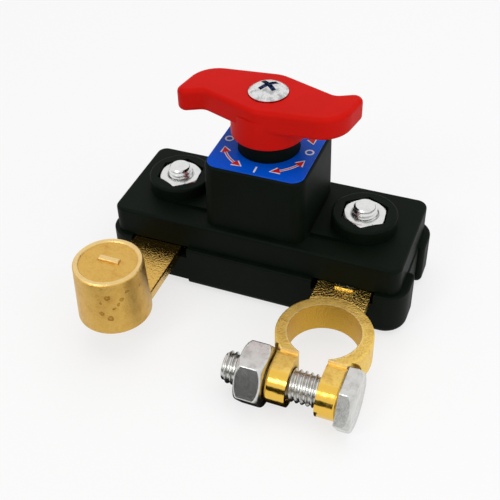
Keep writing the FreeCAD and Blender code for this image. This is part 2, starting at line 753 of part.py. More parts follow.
def clamp_bracket():
    body = new_body("clamp_bracket")
    ring_outer = s.ring_bore + s.ring_wall
    plan = circle(sketch(body, "ring_plan", z.ring_under), ring_outer, bolt_x, ring_y)
    pad(body, "ring", plan, s.ring_height)
    rounded(body, "ring_rims", s.ring_edge, any_of(level(z.ring_under), level(z.ring_top)))
    bracket_plate(body, bolt_x, 1, ring_y)
    plan = sketch(body, "ear_profile", bolt_x - ear_outer, role="YZ_Plane")
    outline(plan, [
        (clamp_y, z.ear_axis - s.ear_radius),
        (ring_y - s.ring_bore, z.ear_axis - s.ear_radius),
        (ring_y - s.ring_bore, z.ring_top),
        (clamp_y, z.ring_top),
    ])
    pad(body, "ear_block", plan, ear_outer * 2)
    plan = sketch(body, "lip_profile", bolt_x + ear_outer, role="YZ_Plane")
    outline(plan, [
        (lip_y, z.ring_top),
        (lip_y, z.ring_top - s.lip_height),
        (lip_y - s.lip_run, z.ear_axis + s.ear_radius),
        (clamp_y, z.ear_axis + s.ear_radius),
        (clamp_y, z.ring_top),
    ])
    pocket(body, "ring_lip", plan, ear_outer * 2)
    plan = sketch(body, "barrel_profile", bolt_x - ear_outer, role="YZ_Plane")
    circle(plan, s.ear_radius, clamp_y, z.ear_axis)
    pad(body, "ear_barrel", plan, ear_outer * 2)

    def ear_side(edge):
        box = edge.BoundBox
        at_side = near(abs(box.XMin - float(bolt_x)), ear_outer) and near(box.XLength, 0)
        return at_side and box.YMin < float(clamp_y) - 0.01

    rounded(body, "ear_sides", s.ear_edge, ear_side)
    plan = sketch(body, "ear_gap_plan", z.ring_top)
    gap_start = clamp_y - s.ear_radius - s.ear_edge
    rectangle(plan, s.ear_gap, ring_y - gap_start, bolt_x, (gap_start + ring_y) / 2)
    pocket(body, "ear_gap_cut", plan, s.ring_height + s.ear_radius * 2)
    plan = circle(sketch(body, "ring_bore_plan", z.ring_top), s.ring_bore, bolt_x, ring_y)
    pocket(body, "ring_bore_cut", plan, s.ring_height + s.ear_radius)
    plan = sketch(body, "clamp_hole_plan", bolt_x + ear_outer, role="YZ_Plane")
    circle(plan, s.clamp_radius + s.clamp_play, clamp_y, z.ear_axis)
    pocket(body, "clamp_hole", plan, ear_outer * 2)
    spot_radius = s.clamp_flats / math.sqrt(3) + s.spot_play
    for side, word in ((-1, "nut"), (1, "head")):
        face_x = bolt_x + ear_outer * side
        plan = sketch(body, f"{word}_spot_face_plan", face_x, role="YZ_Plane")
        circle(plan, spot_radius, clamp_y, z.ear_axis)
        pocket(body, f"{word}_spot_face", plan, ring_outer, up=side > 0)
    plan = sketch(body, "rest_bar_plan", z.strip_top)
    bar_y = -(cover_width / 2 + s.rest_bar_gap + s.rest_bar_depth / 2)
    rectangle(plan, s.rest_bar_width, s.rest_bar_depth, bolt_x, bar_y)
    pad(body, "rest_bar", plan, s.rest_bar_height)
    bracket_holes(body, 1)
    return body


def hexagon_bevel(body, flats, height, both_ends):
    """Cuts the cone that bevels a hexagon's corners at its top, and at its foot where asked."""
    inner = flats * FACE_SHARE
    outer = flats * CORNER_SHARE
    drawing = sketch(body, "bevel_profile", role="XZ_Plane")
    outline(drawing, [(inner, height), (outer, height), (outer, height - s.hex_bevel)])
    if both_ends:
        outline(drawing, [(inner, 0.0), (outer, 0.0), (outer, s.hex_bevel)])
    revolve(body, "bevel", drawing, kind="PartDesign::Groove")


def nut(label, flats, height, bore, turn):
    """A hexagon nut that stands on its own origin."""
    body = new_body(label)
    plan = hexagon(sketch(body, "nut_plan"), flats, turn=turn)
    pad(body, "nut_block", plan, height)
    hexagon_bevel(body, flats, height, both_ends=True)
    plan = circle(sketch(body, "thread_plan", height), bore)
    pocket(body, "thread_bore", plan, height)

    def mouth(edge):
        return near(edge.BoundBox.XLength, bore * 2) and near(edge.BoundBox.ZLength, 0)

    rounded(body, "thread_mouths", s.thread_mouth, mouth, kind="PartDesign::Chamfer")
    return body


def bolt(label, flats, head, shank, length, turn):
    """A hexagon bolt on its own origin, with its head below and its shank upwards."""
    body = new_body(label)
    plan = hexagon(sketch(body, "head_plan"), flats, turn=turn)
    pad(body, "bolt_head", plan, head, down=True)
    inner = flats * FACE_SHARE
    outer = flats * CORNER_SHARE
    drawing = sketch(body, "bevel_profile", role="XZ_Plane")
    outline(drawing, [(inner, -head), (outer, -head), (outer, s.hex_bevel - head)])
    revolve(body, "bevel", drawing, kind="PartDesign::Groove")
    plan = circle(sketch(body, "shank_plan"), shank)
    pad(body, "shank", plan, length)
    rounded(body, "point", s.hex_bevel, level(length), kind="PartDesign::Chamfer")
    return body


def housing_fasteners():
    """The two bolts that hold the housing together, each with its washer and its nut."""
    pieces = []
    bolt_under = z.bolt_seat - s.washer_thickness
    for side, word in ((-1, "left"), (1, "right")):
        length = z.boss_top + s.bolt_stand - bolt_under
        piece = bolt(f"{word}_housing_bolt", s.bolt_flats, s.bolt_head, s.bolt_radius, length, 0.0)
        place(piece, bolt_x * side, height=bolt_under)
        pieces.append(piece)
        bore = s.bolt_radius + s.thread_play
        piece = nut(f"{word}_housing_nut", s.bolt_flats, s.nut_height, bore, float(s.nut_turn))
        place(piece, bolt_x * side, height=z.nut_seat)
        pieces.append(piece)
        outer = primitive("Cylinder", f"{word}_washer_disc", Radius=s.washer_radius,
                          Height=s.washer_thickness)
        inner = primitive("Cylinder", f"{word}_washer_hole", Radius=s.bolt_hole,
                          Height=s.washer_thickness)
        piece = cut(f"{word}_washer", outer, inner)
        place(piece, bolt_x * side, height=bolt_under)
        pieces.append(piece)
    return pieces


def clamp_fasteners():
    """The bolt and the nut that draw the two ears together, lying along X."""
    grip = ear_outer * 2 + s.clamp_nut_gap
    length = grip + s.clamp_nut_height + s.clamp_end
    lying = Placement(Vector(0, 0, 0), Rotation(Vector(0, 1, 0), -90))
    turn = float(s.clamp_turn)
    screw = bolt("clamp_bolt", s.clamp_flats, s.clamp_head, s.clamp_radius, length, turn)
    screw.Placement = lying
    place(screw, bolt_x + ear_outer, clamp_y, z.ear_axis)
    bore = s.clamp_radius + s.thread_play
    fixing = nut("clamp_nut", s.clamp_flats, s.clamp_nut_height, bore, turn)
    fixing.Placement = lying
    place(fixing, bolt_x + ear_outer - grip, clamp_y, z.ear_axis)
    return [screw, fixing]


def rotor():
    body = new_body("rotor")
    groove_low = z.bridge_under - s.end_gap - s.clip_thickness - s.end_gap
    groove_high = z.bridge_under - s.end_gap + s.end_gap / 2
    seal_radius = s.journal_radius - s.seal_section * 2
    seal_low = z.seal - s.seal_section - s.end_gap
    seal_high = z.seal + s.seal_section + s.end_gap
    drawing = sketch(body, "rotor_profile", role="XZ_Plane")
    outline(drawing, [
        (0.0, z.stem_under - s.tail_length),
        (s.tail_radius, z.stem_under - s.tail_length),
        (s.tail_radius, z.stem_under),
        (s.stem_radius, z.stem_under),
        (s.stem_radius, groove_low),
        (s.clip_groove, groove_low),
        (s.clip_groove, groove_high),
        (s.stem_radius, groove_high),
        (s.stem_radius, z.hub_under),
        (s.hub_radius, z.hub_under),
        (s.hub_radius, z.barrel_under),
        (s.barrel_radius, z.barrel_under),
        (s.barrel_radius, z.barrel_top),
        (s.journal_radius, z.barrel_top),
        (s.journal_radius, seal_low),
        (seal_radius, seal_low),
        (seal_radius, seal_high),
        (s.journal_radius, seal_high),
        (s.journal_radius, z.shoulder),
        (0.0, z.shoulder),
    ])
    revolve(body, "turned_rotor", drawing)

    plan = sketch(body, "flat_plan", z.hub_under)
    beyond = s.stem_radius * 2
    for side in (-1, 1):
        middle = (s.stem_flat + beyond / 2) * side
        rectangle(plan, beyond, beyond * 2, middle)
    pocket(body, "stem_flats", plan, z.hub_under - z.stem_under)
    plan = rectangle(sketch(body, "drive_plan", z.shoulder), s.drive_side, s.drive_side)
    pad(body, "drive_square", plan, s.drive_height)
    plan = circle(sketch(body, "screw_bore_plan", z.drive_top), s.screw_radius + s.thread_play)
    pocket(body, "screw_bore", plan, z.drive_top - z.screw_end + s.screw_radius)

    groove_radius = s.ball_radius + s.ball_play * 3
    groove_centre = s.barrel_radius - s.detent_depth + groove_radius
    plan = sketch(body, "detent_plan", z.barrel_top)
    circle(plan, groove_radius, groove_centre * diagonal, groove_centre * diagonal)
    groove = pocket(body, "detent_groove", plan, z.barrel_top - z.barrel_under)
    pattern = body.newObject("PartDesign::PolarPattern", "detent_grooves")
    pattern.Originals = [groove]
    pattern.Axis = (origin_plane(body, "Z_Axis"), [""])
    pattern.Angle = 360.0
    pattern.Occurrences = QUARTER_TURNS
    body.Tip = pattern
    return body


def rotor_seal():
    side = s.seal_section * 2
    outer = primitive("Cylinder", "seal_outside", Radius=s.journal_radius, Height=side)
    inner = primitive("Cylinder", "seal_inside", Radius=s.journal_radius - side, Height=side)
    ring = cut("rotor_seal", outer, inner)
    place(ring, height=z.seal - s.seal_section)
    return ring


def contact_bridge():
    body = new_body("contact_bridge")
    plan = rectangle(sketch(body, "bridge_plan", z.bridge_under), s.bridge_width, s.bridge_length)
    pad(body, "bridge_bar", plan, s.bridge_thickness)
    rounded(body, "bridge_corners", s.bridge_corner, spans(z.bridge_under, z.bridge_top))
    plan = sketch(body, "keyed_hole_plan", z.bridge_top)
    quarter_turned(plan)
    double_flat(plan, s.stem_radius + s.running_gap, s.stem_flat + s.running_gap)
    pocket(body, "keyed_hole", plan, s.bridge_thickness)
    return body


def quarter_turned(drawing):
    """Turns a sketch by a quarter, so that its flats face along X."""
    drawing.AttachmentOffset = Placement(Vector(0, 0, 0), Rotation(Vector(0, 0, 1), 90))


def retaining_clip():
    clip_under = z.bridge_under - s.end_gap - s.clip_thickness
    disc = primitive("Cylinder", "clip_disc", Radius=s.clip_radius, Height=s.clip_thickness)
    hole = primitive("Cylinder", "clip_hole", Radius=s.clip_groove + s.running_gap,
                     Height=s.clip_thickness)
    mouth = primitive("Box", "clip_mouth_block", Length=s.clip_radius * 2, Width=s.clip_mouth,
                      Height=s.clip_thickness)
    place(mouth, 0.0, -s.clip_mouth / 2)
    ring = cut("clip_ring", disc, hole)
    clip = cut("retaining_clip", ring, mouth)
    place(clip, height=clip_under)
    return clip


def coil(label, radius, wire, pitch, height):
    """A spring whose coil stands on its own origin, of short straight runs with mitred joints."""
    radius, wire, pitch, height = float(radius), float(wire), float(pitch), float(height)
    rise = height - wire * 2
    turns = rise / pitch
    runs = round(turns * TURN_RUNS)
    points = []
    for step in range(runs + 1):
        angle = 2 * math.pi * turns * step / runs
        level_here = wire + rise * step / runs
        points.append(Vector(radius * math.cos(angle), radius * math.sin(angle), level_here))
    along = (points[1] - points[0]).normalize()
    up = along.cross(Vector(1, 0, 0)).normalize()
    across = up.cross(along)
    corners = []
    for step in range(WIRE_SIDES):
        angle = 2 * math.pi * step / WIRE_SIDES
        corners.append(points[0] + across * (wire * math.cos(angle)) + up * (wire * math.sin(angle)))
    section = Part.makePolygon(corners + corners[:1])
    mitred = 1
    spring = doc.addObject("Part::Feature", label)
    spring.Shape = Part.makePolygon(points).makePipeShell([section], True, False, mitred)
    return spring


def contact_spring():
    spring = coil("contact_spring", s.spring_radius, s.spring_wire, s.spring_pitch,
                  s.spring_height - s.end_gap * 2)
    place(spring, height=z.bridge_top + s.end_gap)
    return spring


def fixed_contacts():
    pieces = []
    for side, label in ((-1, "post_contact"), (1, "clamp_contact")):
        body = new_body(label)
        drawing = sketch(body, "contact_profile", role="XZ_Plane")
        outline(drawing, [
            (0.0, z.strip_under),
            (s.rivet_radius, z.strip_under),
            (s.rivet_radius, z.strip_top),
            (s.contact_radius, z.strip_top),
            (s.contact_radius, z.contact_top),
            (0.0, z.contact_top),
        ])
        revolve(body, "turned_contact", drawing)
        place(body, s.contact_x * side)
        pieces.append(body)
    return pieces


def detents():
    """Two balls on the tower's diagonal, each with the spring behind it."""
    pieces = []
    for angle, word in ((45.0, "back"), (225.0, "front")):
        turn = math.radians(angle)
        ball = primitive("Sphere", f"{word}_detent_ball", Radius=s.ball_radius)
        place(ball, ball_centre * math.cos(turn), ball_centre * math.sin(turn), z.detent)
        pieces.append(ball)
        spring = coil(f"{word}_detent_spring", s.ball_radius - s.detent_wire * 2, s.detent_wire,
                      s.detent_pitch, s.detent_spring_length)
        spring.Placement = Placement(Vector(0, 0, 0), outwards(angle))
        start = ball_centre + s.ball_radius + s.ball_play / 2
        place(spring, start * math.cos(turn), start * math.sin(turn), z.detent)
        pieces.append(spring)
    return pieces


def knob():
    body = new_body("knob")
    half = [
        (-s.tip_x, -s.tip_y),
        (-s.shoulder_x, s.shoulder_y),
        (s.waist_x, s.waist_y),
        (s.dip_x, s.dip_y),
    ]
    corners = half + [(-x, -y) for x, y in half]
    plan = outline(sketch(body, "wing_plan", z.wing_under), corners)
    pad(body, "wings", plan, s.wing_thickness)
    for name, radius, (x, y) in (
        ("dips", s.dip_round, half[3]),
        ("waists", s.waist_round, half[2]),
        ("shoulders", s.shoulder_round, half[1]),
        ("tips", s.tip_round, half[0]),
    ):
        rounded(body, name, radius, upright_at(x, y))
    rounded(body, "wing_edges", s.wing_edge, any_of(level(z.wing_under), level(z.knob_top)))

    plan = circle(sketch(body, "stem_plan", z.knob_under), s.knob_stem_radius)
    pad(body, "knob_stem", plan, z.wing_under + s.wing_thickness / 2 - z.knob_under)
    rounded(body, "stem_foot", s.knob_stem_edge, level(z.knob_under))
    plan = sketch(body, "collar_recess_plan", z.knob_under)
    circle(plan, s.collar_radius + s.knob_recess_play)
    pocket(body, "collar_recess", plan, z.shoulder - z.knob_under, up=True)
    socket = s.drive_side + s.running_gap * 2
    plan = rectangle(sketch(body, "socket_plan", z.shoulder), socket, socket)
    pocket(body, "drive_socket", plan, s.drive_height + s.end_gap, up=True)
    plan = circle(sketch(body, "screw_hole_plan", z.knob_top), s.screw_hole)
    pocket(body, "screw_hole", plan, z.knob_top - z.drive_top)
    plan = circle(sketch(body, "head_sink_plan", z.knob_top), s.screw_head_radius + s.nut_play)
    pocket(body, "head_sink", plan, s.screw_sink)
    return body


def upright_at(x, y):
    """A test for the upright edges at a place in plan and at the place opposite."""

    def test(edge):
        box = edge.BoundBox
        upright = box.ZLength > float(s.wing_thickness) / 2
        thin = near(box.XLength, 0) and near(box.YLength, 0)
        here = near(box.XMin, x) and near(box.YMin, y)
        opposite = near(box.XMin, -x) and near(box.YMin, -y)
        return upright and thin and (here or opposite)

    return test


def any_of(*tests):
    return lambda edge: any(test(edge) for test in tests)


def knob_screw():
    head = primitive("Cylinder", "screw_head_disc", Radius=s.screw_head_radius,
                     Height=s.screw_head_height)
    place(head, height=z.screw_seat)
    dome = primitive("Sphere", "screw_dome_ball", Radius=s.screw_dome)
    place(dome, height=z.screw_seat + s.screw_head_height - s.screw_dome)
    cap = doc.addObject("Part::Common", "screw_cap")
    cap.Base = head
    cap.Tool = dome
    shank = primitive("Cylinder", "screw_shank", Radius=s.screw_radius,
                      Height=s.screw_length + s.screw_sink)
    place(shank, height=z.screw_end)
    whole = doc.addObject("Part::Fuse", "screw_blank")
    whole.Base = cap
    whole.Tool = shank
    slots = []
    for name, along_x, along_y in (
        ("cross_slot_x", s.cross_length, s.cross_width),
        ("cross_slot_y", s.cross_width, s.cross_length),
    ):
        slot = primitive("Box", name, Length=along_x, Width=along_y, Height=s.cross_depth)
        slot_height = z.screw_seat + s.screw_head_height - s.cross_depth
        place(slot, -along_x / 2, -along_y / 2, slot_height)
        slots.append(slot)
    cross = doc.addObject("Part::Fuse", "cross_recess")
    cross.Base = slots[0]
    cross.Tool = slots[1]
    cross.Placement = Placement(Vector(0, 0, 0), Rotation(Vector(0, 0, 1), float(s.cross_turn)))
    return cut("knob_screw", whole, cross)


def export(pieces):
    """Checks every object and every piece, then writes one file a piece."""
    doc.recompute()
    for item in doc.Objects:
        if "Invalid" in item.State or "Error" in item.State:
            raise ValueError(f"{item.Name} could not be worked out: {item.State}")
    os.makedirs("parts", exist_ok=True)
    for piece in pieces:
        shape = piece.Shape
        if shape.isNull() or not shape.isValid() or not shape.Solids:
            raise ValueError(f"{piece.Label} is not a sound solid")
    for piece in pieces:
        piece.Shape.exportStep(f"parts/{piece.Label}.step")
        print(piece.Label, len(piece.Shape.Solids), round(piece.Shape.Volume, 1))


export([
    upper_housing(),
    lower_housing(),
    label_plate(),
    post_bracket(),
    clamp_bracket(),
    *housing_fasteners(),
    *clamp_fasteners(),
    rotor(),
    rotor_seal(),
    contact_bridge(),
    contact_spring(),
    retaining_clip(),
    *fixed_contacts(),
    *detents(),
    knob(),
    knob_screw(),
])
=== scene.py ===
"""A battery terminal disconnect switch: its finishes, screw threads, label prints and studio."""
import math

import bmesh
import bpy
from mathutils import Matrix, Vector


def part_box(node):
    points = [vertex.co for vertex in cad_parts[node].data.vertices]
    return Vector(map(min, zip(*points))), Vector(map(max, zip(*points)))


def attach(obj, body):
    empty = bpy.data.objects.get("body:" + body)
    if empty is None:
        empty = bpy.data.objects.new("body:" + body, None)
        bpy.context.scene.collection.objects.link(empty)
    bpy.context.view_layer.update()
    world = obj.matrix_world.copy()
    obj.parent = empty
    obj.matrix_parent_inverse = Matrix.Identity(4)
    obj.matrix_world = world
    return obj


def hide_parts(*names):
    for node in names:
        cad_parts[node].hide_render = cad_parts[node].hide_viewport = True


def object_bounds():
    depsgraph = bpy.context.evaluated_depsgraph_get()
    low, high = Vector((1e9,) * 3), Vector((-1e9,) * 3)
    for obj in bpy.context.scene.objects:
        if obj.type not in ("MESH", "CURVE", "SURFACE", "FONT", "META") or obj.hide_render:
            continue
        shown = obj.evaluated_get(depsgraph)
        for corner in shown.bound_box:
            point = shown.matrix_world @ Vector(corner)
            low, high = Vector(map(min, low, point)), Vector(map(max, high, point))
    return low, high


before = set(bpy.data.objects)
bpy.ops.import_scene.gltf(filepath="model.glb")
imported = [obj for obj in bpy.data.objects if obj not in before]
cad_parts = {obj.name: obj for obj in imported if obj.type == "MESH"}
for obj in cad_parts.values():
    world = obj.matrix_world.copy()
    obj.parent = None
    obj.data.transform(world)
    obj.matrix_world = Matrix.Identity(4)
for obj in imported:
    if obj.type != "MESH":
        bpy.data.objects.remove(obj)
CAD_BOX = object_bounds()

bl_info = {
    "name": "Battery disconnect switch",
    "version": (1, 0, 0),
    "blender": (4, 5, 0),
    "location": "View3D > Sidebar > Switch",
    "description": "Dresses a packed battery disconnect switch and sets up its studio",
    "category": "Object",
}

MM = 0.001
WHITE = (1.0, 1.0, 1.0)

# Brown casting pits on the post, by centre and radius in millimetres
POST_PITS = (
    (-21.8, -44.4, 20.0, 0.95), (-23.4, -45.0, 18.4, 0.45), (-20.7, -44.0, 16.7, 0.60),
    (-19.8, -43.3, 17.7, 0.55), (-19.1, -42.6, 18.9, 0.65), (-21.7, -44.7, 13.9, 0.95),
    (-17.0, -37.9, 20.0, 0.35), (-23.4, -45.2, 15.4, 0.70), (-18.3, -41.5, 20.5, 0.60),
)

# How many times its width an arrow's white edge adds at the tips, to the heads and at their barbs
TIP_GROWTH = 1.9
HEAD_GROWTH = 0.9
BARB_GROWTH = 1.6
ARROW_STEPS = 18
RING_STEPS = 40

# One turn of a thread, by shares of its pitch: the crest's two edges and then the root's
CREST_SHARES = (0.0, 0.14)
ROOT_SHARES = (0.46, 0.66)
THREAD_AROUND = 48
# How fast the bevel at a bolt's point narrows
POINT_SLOPE = 0.8
# A thread starts inside its bolt's head, and a nut's bore clears the thread's crest
THREAD_LAP = 0.1 * MM
NUT_GAP = 0.05 * MM
# Points of a thread that lie closer than this become one
MERGE_REACH = 0.0002 * MM

# A hexagon's corners drop away beyond its round end face, evenly and then faster
HEX_SIDES = 6
HEX_AROUND = 96
CORNER_SLOPE = 0.30
CORNER_CURVE = 0.34
CORNER_SHARES = (0.0, 0.5, 1.0)
# Edges sharper than the first are rounded, and edges sharper than the second keep their crease
ROUNDED_ANGLE = math.radians(30)
SHARP_ANGLE = math.radians(32)

# Half the floor's width in metres, its gap below the part, and a card's height above it
FLOOR_REACH = 3.0
FLOOR_GAP = 0.05 * MM
CARD_LIFT = 0.026 * MM
# Corners in millimetres of a card that slopes up in front, and of one on the floor by the clamp,
# a painted shadow under the clamp that only reflections see
FRONT_CARD = ((-90, -84, 0), (27, -84, 0), (17.5, -145, 31), (-90, -145, 31))
CLAMP_SHADOW_CARD = ((0, -51), (27, -51), (27, -32), (0, -32))


# Properties

def length(name, description, millimetres):
    return bpy.props.FloatProperty(name=name, description=description, default=millimetres * MM,
                                   unit="LENGTH", precision=5)


def number(name, description, default):
    return bpy.props.FloatProperty(name=name, description=description, default=default)


def fraction(name, description, default):
    return bpy.props.FloatProperty(name=name, description=description, subtype="FACTOR", min=0.0,
                                   max=1.0, default=default)


def angle(name, description, degrees):
    return bpy.props.FloatProperty(name=name, description=description, subtype="ANGLE",
                                   default=math.radians(degrees))


def power(name, description, watts):
    return bpy.props.FloatProperty(name=name, description=description, default=watts, unit="POWER")


def colour(name, description, red, green, blue):
    return bpy.props.FloatVectorProperty(name=name, description=description, size=3, min=0.0,
                                         max=1.0, subtype="COLOR", default=(red, green, blue))


class SwitchFasteners(bpy.types.PropertyGroup):
    clamp_pitch: length("Clamp thread pitch", "Pitch of the M8 clamp bolt", 1.25)
    clamp_root: length("Clamp thread root", "Root radius of the clamp bolt's thread", 3.2)
    clamp_crest: length("Clamp thread crest", "Crest radius of the clamp bolt's thread", 3.72)
    clamp_flats: length("Clamp hexagon", "Across the flats of the clamp bolt's head and nut", 13.2)
    clamp_head: length("Clamp head height", "Height of the clamp bolt's head", 3.4)
    clamp_turn: angle("Clamp hexagon turn", "Turn of the clamp's head and nut from level", 2.6)
    housing_pitch: length("Housing thread pitch", "Pitch of the M6 housing bolts", 1.0)
    housing_root: length("Housing thread root", "Root radius of the housing bolts", 2.45)
    housing_crest: length("Housing thread crest", "Crest radius of the housing bolts", 2.92)
    housing_flats: length("Housing hexagon", "Across the flats of the housing bolts and nuts", 10.0)
    housing_head: length("Housing head height", "Height of a housing bolt's head", 4.0)
    nut_turn: angle("Housing nut turn", "Turn of the housing nuts about their bolts", 36.0)
    face_share: fraction("Hexagon face", "Radius of the round end face, by the flats", 0.465)
    edge_width: length("Edge rounding", "Width of the rounding on a hexagon's edges", 0.22)
    mouth: length("Nut mouth", "Bevel at both ends of a nut's thread", 0.5)
    point: length("Bolt point", "Bevel at the end of a bolt", 0.8)
    paint_depth: length("Paint depth", "Paint starts this far below the knob screw's top", 0.55)
    paint_radius: length("Paint radius", "Reach of the paint from the knob screw's axis", 2.5)


class SwitchBrackets(bpy.types.PropertyGroup):
    ring_behind: length("Ring behind bolt", "Ring's middle behind the clamp bolt", 12.4)
    ring_radius: length("Ring radius", "Outside radius of the clamp ring", 11.05)
    bore_radius: length("Bore radius", "Radius of the clamp ring's bore", 8.25)
    lip_behind: length("Lip behind bolt", "Front of the ring's lip behind the clamp bolt", 4.4)
    polish_start: length("Polish start", "Polish begins this far in front of the bolt", 1.5)
    bar_height: length("Bar height", "Small bar above the clamp bracket's strip", 0.4)
    post_radius: length("Post radius", "Radius of the post at its foot", 8.7)
    mark_height: length("Mark height", "Small bar above the post's sunk top", 0.5)
    ring_satin: fraction("Ring satin", "Roughness of the ring's cast surface", 0.42)
    ring_grain: number("Ring grain", "Relief of the ring's casting grain", 1.2)
    ring_strip_grain: number("Ring strip grain", "Relief of the grain on the ring's strip", 2.0)
    post_satin: fraction("Post satin", "Roughness of the post's cast surface", 0.32)
    post_grain: number("Post grain", "Relief of the post's casting grain", 0.8)
    post_strip_grain: number("Post strip grain", "Relief of the grain on the post's strip", 0.9)


class SwitchPrints(bpy.types.PropertyGroup):
    ink_height: length("Ink height", "How far the print stands above its label", 0.03)
    outline_share: fraction("Outline height", "Height of the arrows' white edge, by the ink's", 0.6)
    arrow_radius: length("Arrow radius", "Middle line of the curved arrows", 10.4)
    turn: angle("Print turn", "How far the label's print is turned about the knob's axis", 2.0)
    arrow_start: angle("Arrow start", "First tip of an arrow within its quarter", 20.0)
    arrow_end: angle("Arrow end", "Second tip of an arrow within its quarter", 69.0)
    head_angle: angle("Arrow head length", "Length of an arrow head along its arc", 11.5)
    head_width: length("Arrow head width", "Half the width of an arrow head", 1.0)
    shaft_width: length("Arrow shaft width", "Half the width of an arrow's shaft", 0.15)
    outline: length("Arrow outline", "White edge about an arrow", 0.20)
    on_reach: length("On mark reach", "On marks from the knob's axis", 10.1)
    off_reach: length("Off mark reach", "Off marks from the knob's axis", 9.9)
    mark_size: length("Mark size", "Half the height of a mark", 1.1)
    mark_stroke: length("Mark stroke", "Half the stroke of a mark", 0.2)


class SwitchColours(bpy.types.PropertyGroup):
    housing: colour("Housing", "Black moulded plastic", 0.0024, 0.0046, 0.0026)
    knob: colour("Knob", "Red moulded plastic", 0.61, 0.0060, 0.0025)
    label: colour("Label", "Blue printed film", 0.0008, 0.095, 0.680)
    white_ink: colour("White ink", "Marks and outlines on the label", 0.80, 0.80, 0.80)
    red_ink: colour("Red ink", "Arrows on the label", 0.62, 0.015, 0.02)
    brass: colour("Brass", "Clamp ring's brass", 0.93, 0.66, 0.175)
    post_brass: colour("Post brass", "Duller brass of the post", 0.70, 0.44, 0.110)
    old_brass: colour("Old brass", "Stains and pits in the brass", 0.50, 0.22, 0.025)
    # Pale brass for wear on edges, and for painted highlights on the lip, the bore's edge and the
    # small bars
    wear_and_highlight_brass: colour("Worn brass", "Bright worn edges of the brass", 1.0, 0.84, 0.48)
    zinc: colour("Zinc", "Zinc-plated steel", 0.66, 0.66, 0.635)
    dull_zinc: colour("Dull zinc", "Dull patches on the plating", 0.47, 0.46, 0.43)
    chrome: colour("Chrome", "Bright plated steel", 0.74, 0.75, 0.74)
    paint: colour("Paint", "Blue paint left in the screw's recess", 0.006, 0.022, 0.10)
    copper: colour("Copper", "Contacts and bridge", 0.78, 0.42, 0.24)
    nylon: colour("Nylon", "Black rotor", 0.020, 0.020, 0.021)
    rubber: colour("Rubber", "Seal ring", 0.010, 0.010, 0.010)


class SwitchStudio(bpy.types.PropertyGroup):
    azimuth: angle("Camera azimuth", "Camera's turn from the front", 24.558)
    elevation: angle("Camera elevation", "Camera's height above the level", 41.302)
    roll: angle("Camera roll", "Camera's roll about its own axis", -3.171)
    distance: length("Camera distance", "Camera from the middle of the housing", 222.68)
    aside: length("Camera aside", "Camera's offset to its right", -10.9)
    above: length("Camera above", "Camera's offset upwards", -11.846)
    height: length("Aim height", "Height of the point that the camera turns about", 19.2)
    lens: bpy.props.FloatProperty(name="Lens", description="Focal length for a 36 mm wide sensor",
                                  default=64.727, unit="CAMERA")
    shift_x: number("Shift across", "Camera shift that frames the photograph", 0.0484)
    shift_y: number("Shift up", "Camera shift that frames the photograph", 0.0034)
    key: power("Key lamp", "Soft lamp at the upper left", 0.6)
    fill: power("Fill lamp", "Soft lamp at the right", 0.9)
    top: power("Top lamp", "Soft lamp above", 1.9)
    ambient: number("Ambient", "Strength of the surrounding light", 0.44)
    floor: colour("Floor", "Pale floor", 0.90, 0.90, 0.90)
    floor_white: fraction("Floor white", "Share of plain white in the floor that is seen", 0.70)
    card: colour("Cards", "Dark cards that only reflections see", 0.02, 0.02, 0.02)


class SwitchSettings(bpy.types.PropertyGroup):
    fasteners: bpy.props.PointerProperty(type=SwitchFasteners, name="Fasteners",
                                         description="Screws, bolts and nuts")
    brackets: bpy.props.PointerProperty(type=SwitchBrackets, name="Brackets",
                                        description="Places and feel of the brass")
    prints: bpy.props.PointerProperty(type=SwitchPrints, name="Prints",
                                      description="Marks on the label")
    colours: bpy.props.PointerProperty(type=SwitchColours, name="Colours",
                                       description="Colours of the finishes")
    studio: bpy.props.PointerProperty(type=SwitchStudio, name="Studio",
                                      description="Camera, lamps and floor")


# Shader maths

class Wire:
    """A shader socket that can be used in a Python expression."""

    def __init__(self, tree, socket):
        self.tree = tree
        self.socket = socket

    def math(self, operation, *values):
        return self.tree.node("ShaderNodeMath", {"operation": operation}, dict(enumerate(values)))

    def __add__(self, other):
        return self.math("ADD", self, other)

    def __sub__(self, other):
        return self.math("SUBTRACT", self, other)

    def __mul__(self, other):
        return self.math("MULTIPLY", self, other)

    def __pow__(self, other):
        return self.math("POWER", self, other)

    def __rsub__(self, other):
        return self.math("SUBTRACT", other, self)

    def __rpow__(self, other):
        return self.math("POWER", other, self)

    __radd__ = __add__
    __rmul__ = __mul__

    def step(self, start, end):
        """Rises from 0 to 1 as the value goes from start to end."""
        inputs = {"Value": self, "From Min": start, "From Max": end}
        settings = {"interpolation_type": "SMOOTHSTEP"}
        return self.tree.node("ShaderNodeMapRange", settings, inputs)

    def most(self, other):
        """The larger of two values."""
        return self.math("MAXIMUM", self, other)

    def root(self):
        return self.math("SQRT", self)


